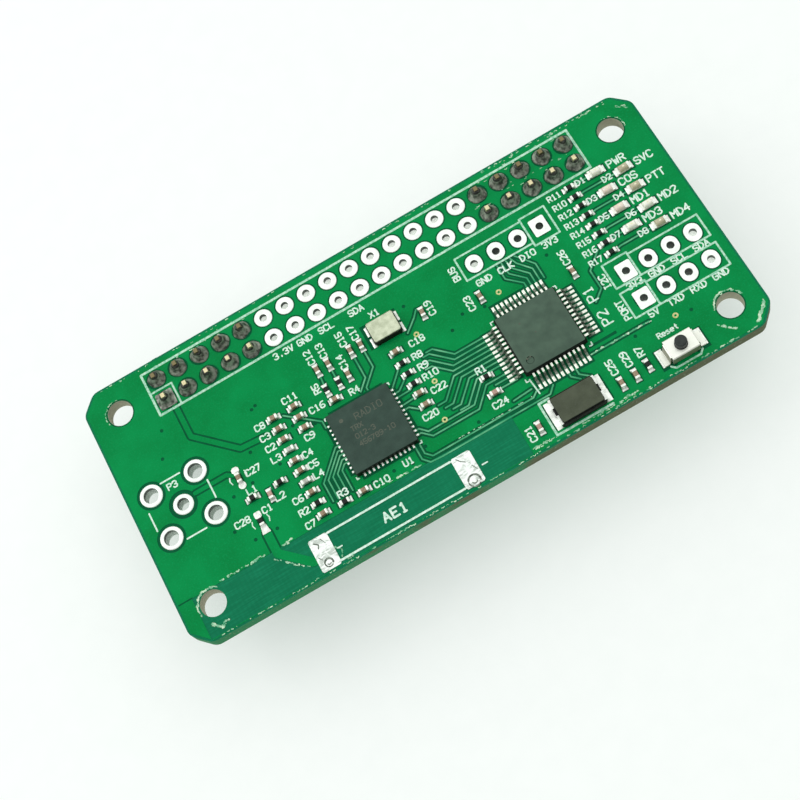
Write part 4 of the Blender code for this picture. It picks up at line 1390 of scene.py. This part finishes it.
boat_pads = bmesh.new()
osc_low, osc_high = (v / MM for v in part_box("oscillator_base"))
for side, edge in ((-1, osc_low.x), (1, osc_high.x)):
    for y in (osc_low.y + 0.55, osc_high.y - 0.55):
        add_mound(boat_pads, placed(edge + side * 0.04, y, 0.0), 0.22, 0.55, end_solder(0.36, side), TOP)
        end_cap = above([(0.05, 0.03, 0.42), (0.55, 0.03, 0.42)], TOP)
        add_stack(boat_pads, placed(edge, y, 0.0), end_cap, 0, 0.02)
xtal_low, xtal_high = (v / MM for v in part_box("crystal_base"))
for side, edge in ((-1, xtal_low.x), (1, xtal_high.x)):
    for y, half in ((xtal_low.y + 0.72, 0.62), (xtal_high.y - 0.62, 0.6)):
        add_mound(boat_pads, placed(edge + side * 0.15, y, 0.0), 0.42, half, end_solder(0.4, side), TOP)
        end_cap = above([(0.05, 0.14, half - 0.08), (0.76, 0.14, half - 0.1)], TOP)
        add_stack(boat_pads, placed(edge - side * 0.1, y, 0.0), end_cap, 0, 0.03)
for left, right in ((8.36, 9.2), (13.62, 14.5)):
    add_slab(boat_pads, flat_region([corner_cut(left, -13.6, right, -11.05)]), TOP, TOP + 0.07)
piece_from("boat_solder", boat_pads, [solder], smooth=40)

# %% [markdown]
# ## The reset button
# A snap dome under a black plunger, in a pale base, held by a folded steel cover whose feet are soldered on
# both sides. All of these are solids of the frame, since the plunger travels. They get their finishes: satin
# steel with brushing along its length, moulded plastic, and a black plunger worn shiny on its tip.

# %% Button finishes
steel = Finish("button_cover_steel", (0.84, 0.86, 0.8), 0.35, 0.5)
brushed = steel.noise(3.0, 4.0, (0.4, 3.0, 3.0))
plate_tone = steel.mix(brushed, (0.8, 0.81, 0.72), (0.95, 0.95, 0.88))
# Painted shade: the cover's walls get a dark olive grey, and only its flat tops get the brushed plate tone.
steel.colour(steel.mix(steel.step(steel.upward(), 0.3, 0.8), (0.16, 0.16, 0.09), plate_tone))
steel.roughness(brushed, 0.22, 0.42)
steel.bump(brushed, 0.006)
dome_steel = mottled("snap_dome_steel", (0.5, 0.5, 0.47), (0.62, 0.62, 0.58), 4.0, (0.2, 0.32), 0.004, 0.9)
pale_plastic = mottled("button_base_plastic", (0.5, 0.52, 0.46), (0.64, 0.66, 0.6), 4.0, (0.4, 0.55), 0.01)

plunger = Finish("plunger_plastic", (0.015, 0.017, 0.016), 0.35, Specular_IOR_Level=0.2)
rings_worn = plunger.noise(2.5, 4.0)
plunger.colour(plunger.mix(rings_worn, (0.008, 0.01, 0.009), (0.05, 0.06, 0.055)))
plunger.roughness(plunger.upward(), 0.5, 0.3)
plunger.bump(rings_worn, 0.008)

finish_node("button_cover", steel.material)
finish_node("button_dome", dome_steel)
finish_node("button_base", pale_plastic)
finish_node("button_plunger", plunger.material)
ease_edges("button_cover", 0.05, 3)
ease_edges("button_base", 0.05, 3)
ease_edges("button_plunger", 0.05, 3)
BUTTON_X, FEET_Y = 22.7, -12.8
button_pads = bmesh.new()
for side in (-1, 1):
    at_foot = placed(BUTTON_X + side * 2.12, FEET_Y, 0.0)
    add_mound(button_pads, at_foot, 0.36, 0.95, end_solder(0.02, side), TOP)
piece_from("button_solder", button_pads, [solder], smooth=40)

# %% [markdown]
# ## Sockets and contacts
# The two ten pin sockets are moulded in black glass filled nylon, matt with a slight flow pattern. Their
# contacts are bronze forks with a flash of gold; on top only their tips show, above the solder.

# %% Socket and contact finishes
nylon = Finish("socket_nylon", (0.012, 0.012, 0.012), 0.45)
flow = nylon.noise(0.6, 5.0, (1.0, 1.0, 0.4))
nylon.colour(nylon.mix(flow, (0.008, 0.008, 0.009), (0.032, 0.033, 0.034)))
nylon.roughness(flow, 0.36, 0.6)
nylon.bump(nylon.noise(9.0, 4.0), 0.012)
gold = Finish("gold_flash", (0.7, 0.58, 0.34), 0.3, 0.75)
worn = gold.noise(4.0, 4.0)
tip_tone = gold.mix(worn, (0.5, 0.4, 0.2), (0.86, 0.78, 0.52))
gold.colour(gold.mix(gold.step(gold.axis("Y"), 11.4, 11.6), tip_tone, (0.2, 0.16, 0.08)))
gold.roughness(worn, 0.22, 0.36)
gold.bump(worn, 0.006)
for side in ("left", "right"):
    finish_node(f"header_socket_{side}", nylon.material)
    ease_edges(f"header_socket_{side}", 0.08)
for number in range(1, 21):
    finish_node(f"header_contact_{number:02d}", gold.material)
    ease_edges(f"header_contact_{number:02d}", 0.04)

# %% [markdown]
# ## Printed legend
# White ink is printed through a screen, in lines of one width with round ends. So letters here are strokes on
# a grid of 4 by 6, each stroke a capsule, and the same ink draws the frames around connectors. Words are
# generic: what a pin carries, or the number of a part.

# %% Stroke letters
GRID_WIDE, GRID_HIGH = 4, 6
GLYPHS = {
    "0": "10-30-41-45-36-16-05-01-10", "1": "15-26-20 10-30", "2": "05-16-36-45-44-00-40",
    "3": "05-16-36-45-44-33-23 33-42-41-30-10-01", "4": "30-36-02-42", "5": "46-06-03-33-42-41-30-10-01",
    "6": "46-26-04-01-10-30-41-42-33-03", "7": "06-46-10",
    "8": "13-04-05-16-36-45-44-33-13-02-01-10-30-41-42-33", "9": "00-20-42-45-36-16-05-04-13-43",
    "A": "00-26-40 12-32", "B": "00-06-36-45-44-33-03 33-42-41-30-00", "C": "45-36-16-05-01-10-30-41",
    "D": "00-06-26-44-42-20-00", "E": "40-00-06-46 03-33", "G": "45-36-16-05-01-10-30-41-43-23",
    "I": "10-30 16-36 20-26", "K": "00-06 46-03-40", "L": "06-00-40", "M": "00-06-23-46-40",
    "N": "00-06-40-46", "O": "10-30-41-45-36-16-05-01-10", "P": "00-06-36-45-44-33-03",
    "R": "00-06-36-45-44-33-03 23-40", "S": "45-36-16-05-04-13-33-42-41-30-10-01", "T": "06-46 20-26",
    "U": "06-01-10-30-41-46", "V": "06-20-46", "W": "06-10-24-30-46", "X": "00-46 06-40",
    "Y": "06-23-46 23-20", "H": "00-06 40-46 03-43", ".": "20-21", "-": "13-33",
    "e": "02-42-43-34-14-03-01-10-30", "s": "34-14-03-32-41-30-00", "t": "26-21-30 14-34", " ": "",
}


def write(words, centre, height=0.66, stroke=0.15, upright=False, spacing=5.5, slim=0.98):
    """The strokes of some words, centred at a place; upright words read from below."""
    unit = height / GRID_HIGH
    length = (len(words) * spacing - (spacing - GRID_WIDE)) * unit * slim
    polygons = []
    for i, letter in enumerate(words):
        for line in GLYPHS[letter].split():
            points = []
            for mark in line.split("-"):
                x = (i * spacing + int(mark[0])) * unit * slim - length / 2
                y = int(mark[1]) * unit - height / 2
                if upright:
                    x, y = -y, x
                points.append((centre[0] + x, centre[1] + y))
            polygons += chain(points, stroke, 3)
    return polygons


print(len(GLYPHS), "letters")

# %% Lying words
legend = []
for words, x, y in (("3.3V", -11.3, 8.2), ("GND", -8.8, 8.2), ("SCL", -6.3, 8.2), ("SDA", -2.8, 8.2),
                    ("GND", 9.95, 3.95), ("CLK", 12.45, 3.95), ("DIO", 15.0, 3.95), ("3V3", 17.55, 3.95),
                    ("3V3", 22.4, -4.55), ("GND", 24.9, -4.55), ("SCL", 27.45, -4.55), ("SDA", 29.95, -4.55),
                    ("5V", 22.4, -8.2), ("TXD", 24.9, -8.2), ("RXD", 27.45, -8.2), ("GND", 29.95, -8.2),
                    ("P3", -27.5, 1.55), ("X1", -1.35, 6.9), ("C8", -17.0, 2.3), ("C3", -17.0, 1.0),
                    ("C2", -17.0, -0.3), ("L3", -17.0, -1.6), ("C6", -17.0, -6.6), ("R2", -17.0, -8.0),
                    ("C7", -17.0, -9.5), ("C4", -14.0, -2.8), ("C5", -14.0, -4.1), ("L4", -14.0, -5.3),
                    ("C11", -13.0, 3.4), ("C9", -13.0, -1.3), ("R3", -12.8, -8.3), ("C10", -8.9, -9.3),
                    ("U1", -5.7, -8.9), ("C27", -19.6, -1.4), ("L1", -20.6, -3.2), ("L2", -18.4, -5.3),
                    ("C1", -20.1, -5.75), ("C28", -22.9, -5.75), ("R4", -6.9, 0.6), ("C16", -11.0, 1.0),
                    ("C18", 1.0, 1.9), ("R8", 0.3, 0.5), ("R9", 0.3, -0.8), ("R10", 0.5, -2.0),
                    ("C22", 0.55, -3.7), ("C20", -1.5, -5.8), ("R1", 5.0, -4.3), ("C24", 5.0, -8.4)):
    legend.append(write(words, (x, y)))
legend.append(write("Reset", (22.5, -10.6), 0.52, 0.13))

# %% Upright words, and the words by the lamps
for words, x, y in (("C12", -9.3, 6.2), ("C13", -7.9, 6.2), ("C15", -5.6, 6.2), ("C17", -4.2, 6.2),
                    ("R5", -10.2, 2.8), ("C14", -6.6, 3.95), ("C19", 3.8, 4.3), ("C23", 7.45, 2.5),
                    ("C26", 17.9, 1.7), ("C21", 5.95, -12.8), ("C25", 16.0, -11.0), ("C29", 17.6, -11.0),
                    ("R7", 19.1, -11.0), ("BUS", 7.65, 6.15), ("I2C", 20.0, -2.8), ("PORT", 20.0, -6.4)):
    legend.append(write(words, (x, y), upright=True))
for words, y in (("P1", -3.2), ("P2", -6.1)):
    legend.append(write(words, (18.1, y), 1.0, 0.16, upright=True))
for number, y in zip((11, 10, 12, 13, 14, 15, 16, 17), LAMP_RESISTOR_Y):
    legend.append(write(f"R{number}", (20.4, y), 0.62, 0.14, slim=0.9))
for i, words in enumerate(("PWR", "SVC", "COS", "PTT", "MD1", "MD2", "MD3", "MD4")):
    y = lamps[i][1]
    number_at, word_at = ((25.95, y + 0.05), (30.2, y + 0.05)) if i % 2 else ((23.5, y), (27.7, y + 0.05))
    legend.append(write(f"D{i + 1}", number_at, 0.62, 0.14))
    legend.append(write(words, word_at, 0.78, 0.16))
legend.append(write("AE1", (-9.24, -12.72), 0.94, 0.22, spacing=5.9, slim=1.02))
print(len(legend), "printed words")


# %% [markdown]
# Frames around connectors are printed with the same screen, but in long thin runs that came out paler. Corner
# marks show where the two chips sit, short bars mark the coaxial connector, and bows mark the two places that
# choose the antenna. Every run is a list of points and a width.

# %% Printed frames


def boxed(left, low, right, high, width=0.17):
    """The four sides of a box, as thick lines."""
    return chain([(left, low), (right, low), (right, high), (left, high), (left, low)], width, 4)


frames = [boxed(-25.4, 8.95, 25.2, 14.05, 0.25), chain([(-22.9, 8.95), (-22.9, 11.6), (-25.4, 11.6)], 0.2)]
frames += [boxed(8.45, 4.8, 16.15, 7.6, 0.2), boxed(16.15, 4.4, 19.0, 7.85, 0.2)]
for low_y, high_y in ((-4.1, -1.42), (-7.8, -5.0)):
    frames += [boxed(20.6, low_y, 23.4, high_y + 0.25, 0.2), boxed(23.4, low_y, 31.3, high_y, 0.2)]
frames += [chain([(9.2, -10.5), (8.1, -10.5), (8.1, -14.25), (14.3, -14.25)], 0.24)]
frames += [chain([(20.9, -13.95), (21.3, -14.35), (24.0, -14.35), (24.4, -13.95)], 0.2)]
print(len(frames), "frames")

# %% Printed bars and corner marks
INK_RUNS = (
    ([(-28.5, 2.35), (-26.3, 2.35)], 0.17),
    ([(-28.5, -4.3), (-26.3, -4.3)], 0.17),
    ([(-30.85, 0.1), (-30.85, -2.0)], 0.17),
    ([(-24.1, 0.15), (-24.1, -1.95)], 0.17),
    ([(-16.0, -11.1), (-2.2, -11.1)], 0.22),
    ([(-16.0, -14.25), (-2.2, -14.25)], 0.22),
    ([(-15.75, -13.0), (-15.3, -13.0)], 0.15),
    ([(0.4, -13.0), (0.95, -13.0)], 0.15),
    ([(8.6, -7.8), (8.75, -9.6)], 0.15),
)
bars = [chain(points, width) for points, width in INK_RUNS]
for x, bow in ((-22.05, -0.12), (-20.4, 0.12)):
    bars += [chain([(x, top), (x + bow, top - 0.35), (x, top - 0.75)], 0.12) for top in (-0.95, -6.25)]
for middle, reach, arm in ((CHIP, 3.66, 0.22), (CONTROLLER, 3.72, 0.3)):
    for sx in (-1, 1):
        for sy in (-1, 1):
            x, y = middle.x + sx * reach, middle.y + sy * reach
            bars.append(chain([(x - sx * arm, y), (x, y), (x, y - sy * arm)], 0.14))
print(len(bars), "bars and marks")

# %% [markdown]
# Ink that went on thin lets the green show through in tiny spots. One recipe with two tones does for both:
# fuller for words, thinner for frames. All words are one slab and all frames another, because two slabs of
# the same height that cross would fight for the surface.

# %% Ink, and the printed slabs
INK_HEIGHT = COPPER + 0.02


def printing_ink(name, thin_tone, full_tone):
    """White ink through which the green shows where it went on thin."""
    ink = Finish(name, full_tone, 0.55)
    cover = ink.noise(4.0, 5.0)
    ink.colour(ink.mix(ink.step(cover, 0.32, 0.66), thin_tone, full_tone))
    ink.roughness(cover, 0.45, 0.65)
    ink.bump(cover, 0.01)
    return ink.material


thin_ink = printing_ink("thin_legend_ink", (0.2, 0.52, 0.34), (0.52, 0.76, 0.6))
full_ink = printing_ink("full_legend_ink", (0.45, 0.7, 0.55), (0.78, 0.88, 0.8))
for name, groups, finish, extra in (("printed_frames", frames, thin_ink, 0.003),
                                    ("printed_legend", legend + bars, full_ink, 0.0)):
    region = flat_region([polygon for group in groups for polygon in group])
    slab_piece(name, region, TOP, TOP + INK_HEIGHT + extra, finish)

# %% [markdown]
# A laser writes on a chip by roughening its top, so the words are only a little greyer than the epoxy. They
# are slabs too, a few thousandths of a millimetre high. A few dots on the controller are dust and pits.

# %% Engraved words on the chips
ENGRAVED = (("RADIO", -6.6, -2.3, 0.7), ("TRX", -8.4, -3.3, 0.5), ("012-3", -7.9, -4.2, 0.5),
            ("456789-10", -7.0, -5.1, 0.5))
DOTS = ((10.55, -2.6, 0.1), (11.5, -4.2, 0.08), (9.4, -6.25, 0.12), (9.75, -6.2, 0.1))
SUNK = 0.002
engraved = bmesh.new()
chip_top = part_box("radio_transceiver")[1].z / MM
for words, x, y, height in ENGRAVED:
    add_slab(engraved, flat_region(write(words, (x, y), height, 0.1)), chip_top - SUNK, chip_top + 0.003)
add_slab(engraved, flat_region([ring_points((-9.5, -1.95), 0.22)]), chip_top - SUNK, chip_top + 0.003)
pack_top = PACK_LOW + PACK_HEIGHT
for x, y, radius in DOTS:
    add_slab(engraved, flat_region([ring_points((x, y), radius, 10)]), pack_top - SUNK, pack_top + 0.004)
piece_from("engraved_words", engraved, [engraving])

# %% [markdown]
# ## Open vias
# A via joins the copper of both faces. Most are closed by lacquer and show as small dark dents, which are
# gaps in the copper. A few by the chips are open, and show a ring of bare, yellowish metal.

# %% Open vias
OPEN_VIAS = ((10.55, 2.0), (-0.55, -7.0), (24.0, -9.6), (0.5, -2.9), (1.3, 2.5))
via_gold = mottled("bare_via_metal", (0.4, 0.42, 0.14), (0.62, 0.6, 0.3), 5.0, (0.3, 0.5), 0.01, 0.6)
via_rings = bmesh.new()
for place in OPEN_VIAS:
    ring = flat_region([ring_points(place, 0.3, 20)], [ring_points(place, 0.13, 12)])
    add_slab(via_rings, ring, TOP, TOP + COPPER + 0.02)
piece_from("open_via_rings", via_rings, [via_gold])

# %% [markdown]
# ## Wear
# The board has been handled: the lacquer is chipped along the sawn edges, around the screw holes where a
# screw head turned, and where the flooded copper ends. Noise in the lacquer's recipe could make spots, but
# not in lines. So chips are short, ragged strokes of bare, pale resin, scattered along paths by chance, with
# a fixed seed so that every run draws the same ones.

# %% Chipped lacquer
bare_resin = mottled("chipped_lacquer", (0.06, 0.36, 0.18), (0.6, 0.76, 0.56), 2.2, (0.6, 0.8), 0.02)
HALF_STROKE = (0.02, 0.17)
wear_rng = random.Random(29)
chips = []


def chip_along(points, amount, width, scatter):
    """Scatters ragged strokes along a path: amount a millimetre, about width wide."""
    for start, end in zip(points, points[1:]):
        start, end = Vector(start), Vector(end)
        run = (end - start).length
        for _ in range(max(1, round(run * amount * 1.5))):
            middle = start.lerp(end, wear_rng.random())
            middle += Vector((wear_rng.gauss(0, scatter), wear_rng.gauss(0, scatter)))
            along = (end - start).normalized() * wear_rng.uniform(*HALF_STROKE)
            bend = Vector((-along.y, along.x)) * wear_rng.uniform(-0.8, 0.8)
            thick = width * wear_rng.uniform(0.6, 1.8)
            if abs(middle.x) + 0.4 < HALF_X and abs(middle.y) + 0.12 < HALF_Y:
                chips.extend(chain([middle - along, middle + bend, middle + along], thick, 2))


print("ragged strokes are", 2 * HALF_STROKE[0], "to", 2 * HALF_STROKE[1], "mm long")

# %% Where the lacquer is chipped
WEAR = (
    (arc((-29.0, -11.5), 1.62, 50, 200), 6, 0.1, 0.05),
    (arc((29.0, -11.5), 1.6, 15, 165), 5, 0.09, 0.04),
    (arc((-29.0, 11.5), 1.55, 80, 200), 2, 0.06, 0.03),
    (arc((29.0, 11.5), 1.55, -20, 100), 2, 0.06, 0.03),
    ([(-27.6, -9.85), (-22.3, -9.85)], 4, 0.1, 0.05),
    ([(-20.4, -9.85), (-19.2, -9.85)], 4, 0.1, 0.05),
    ([(-8.2, -9.75), (-4.9, -9.9)], 4, 0.09, 0.05),
    ([(-1.0, -9.45), (8.0, -9.5)], 1.5, 0.06, 0.04),
    ([(-21.7, -10.7), (-20.3, -12.2), (-19.1, -13.2)], 4, 0.08, 0.04),
    ([(-30.0, -13.4), (-29.3, -14.1), (-28.3, -13.7)], 8, 0.12, 0.06),
    ([(27.0, -12.7), (27.5, -13.3), (28.2, -13.9)], 4, 0.1, 0.08),
    ([(30.2, -14.5), (31.9, -12.9)], 12, 0.11, 0.07),
    ([(-16.0, -12.6), (-15.5, -13.3), (-15.9, -14.2), (-14.8, -14.4)], 4, 0.07, 0.08),
    ([(5.4, -14.3), (8.0, -14.3)], 5, 0.08, 0.08),
    ([(10.5, -14.5), (17.0, -14.45)], 3, 0.08, 0.08),
    ([(18.0, -14.75), (30.0, -14.75)], 2.5, 0.07, 0.04),
    ([(-29.5, -14.8), (18.0, -14.8)], 1.6, 0.06, 0.03),
    ([(-30.0, 14.75), (14.0, 14.75)], 0.7, 0.05, 0.05),
    ([(14.0, 14.7), (30.2, 14.6)], 2.0, 0.07, 0.12),
    ([(31.0, 13.6), (32.0, 12.6)], 4, 0.06, 0.06),
    ([(13.0, 13.9), (24.8, 13.9)], 2.0, 0.06, 0.25),
    ([(13.2, 11.5), (24.5, 11.5)], 1.2, 0.06, 0.3),
    ([(-24.5, 14.0), (-13.5, 14.0)], 1.2, 0.06, 0.2),
    ([(15.0, -8.75), (21.6, -8.75)], 2.5, 0.07, 0.05),
)
for path, amount, width, scatter in WEAR:
    chip_along(path, amount, width, scatter)
chipped = flat_region(chips)
slab_piece("chipped_lacquer", chipped, TOP, TOP + COPPER + 0.012, bare_resin)

# %% [markdown]
# A nub on the upper edge is what remains of a tab that held the board in its panel. It is broken off, not
# sawn, so it gets a few uneven stations of the loft, in the laminate's own finish.

# %% Tab remnant
nub = bmesh.new()
broken = [(UNDER + 0.25, 0.42, 0.1), (UNDER + 0.5, 0.5, 0.14), (TOP - 0.35, 0.46, 0.13),
          (TOP - 0.12, 0.3, 0.08)]
add_stack(nub, placed(-23.4, HALF_Y + 0.02, 0.0), broken, 0, 0.07)
piece_from("panel_tab_remnant", nub, [laminate.material])
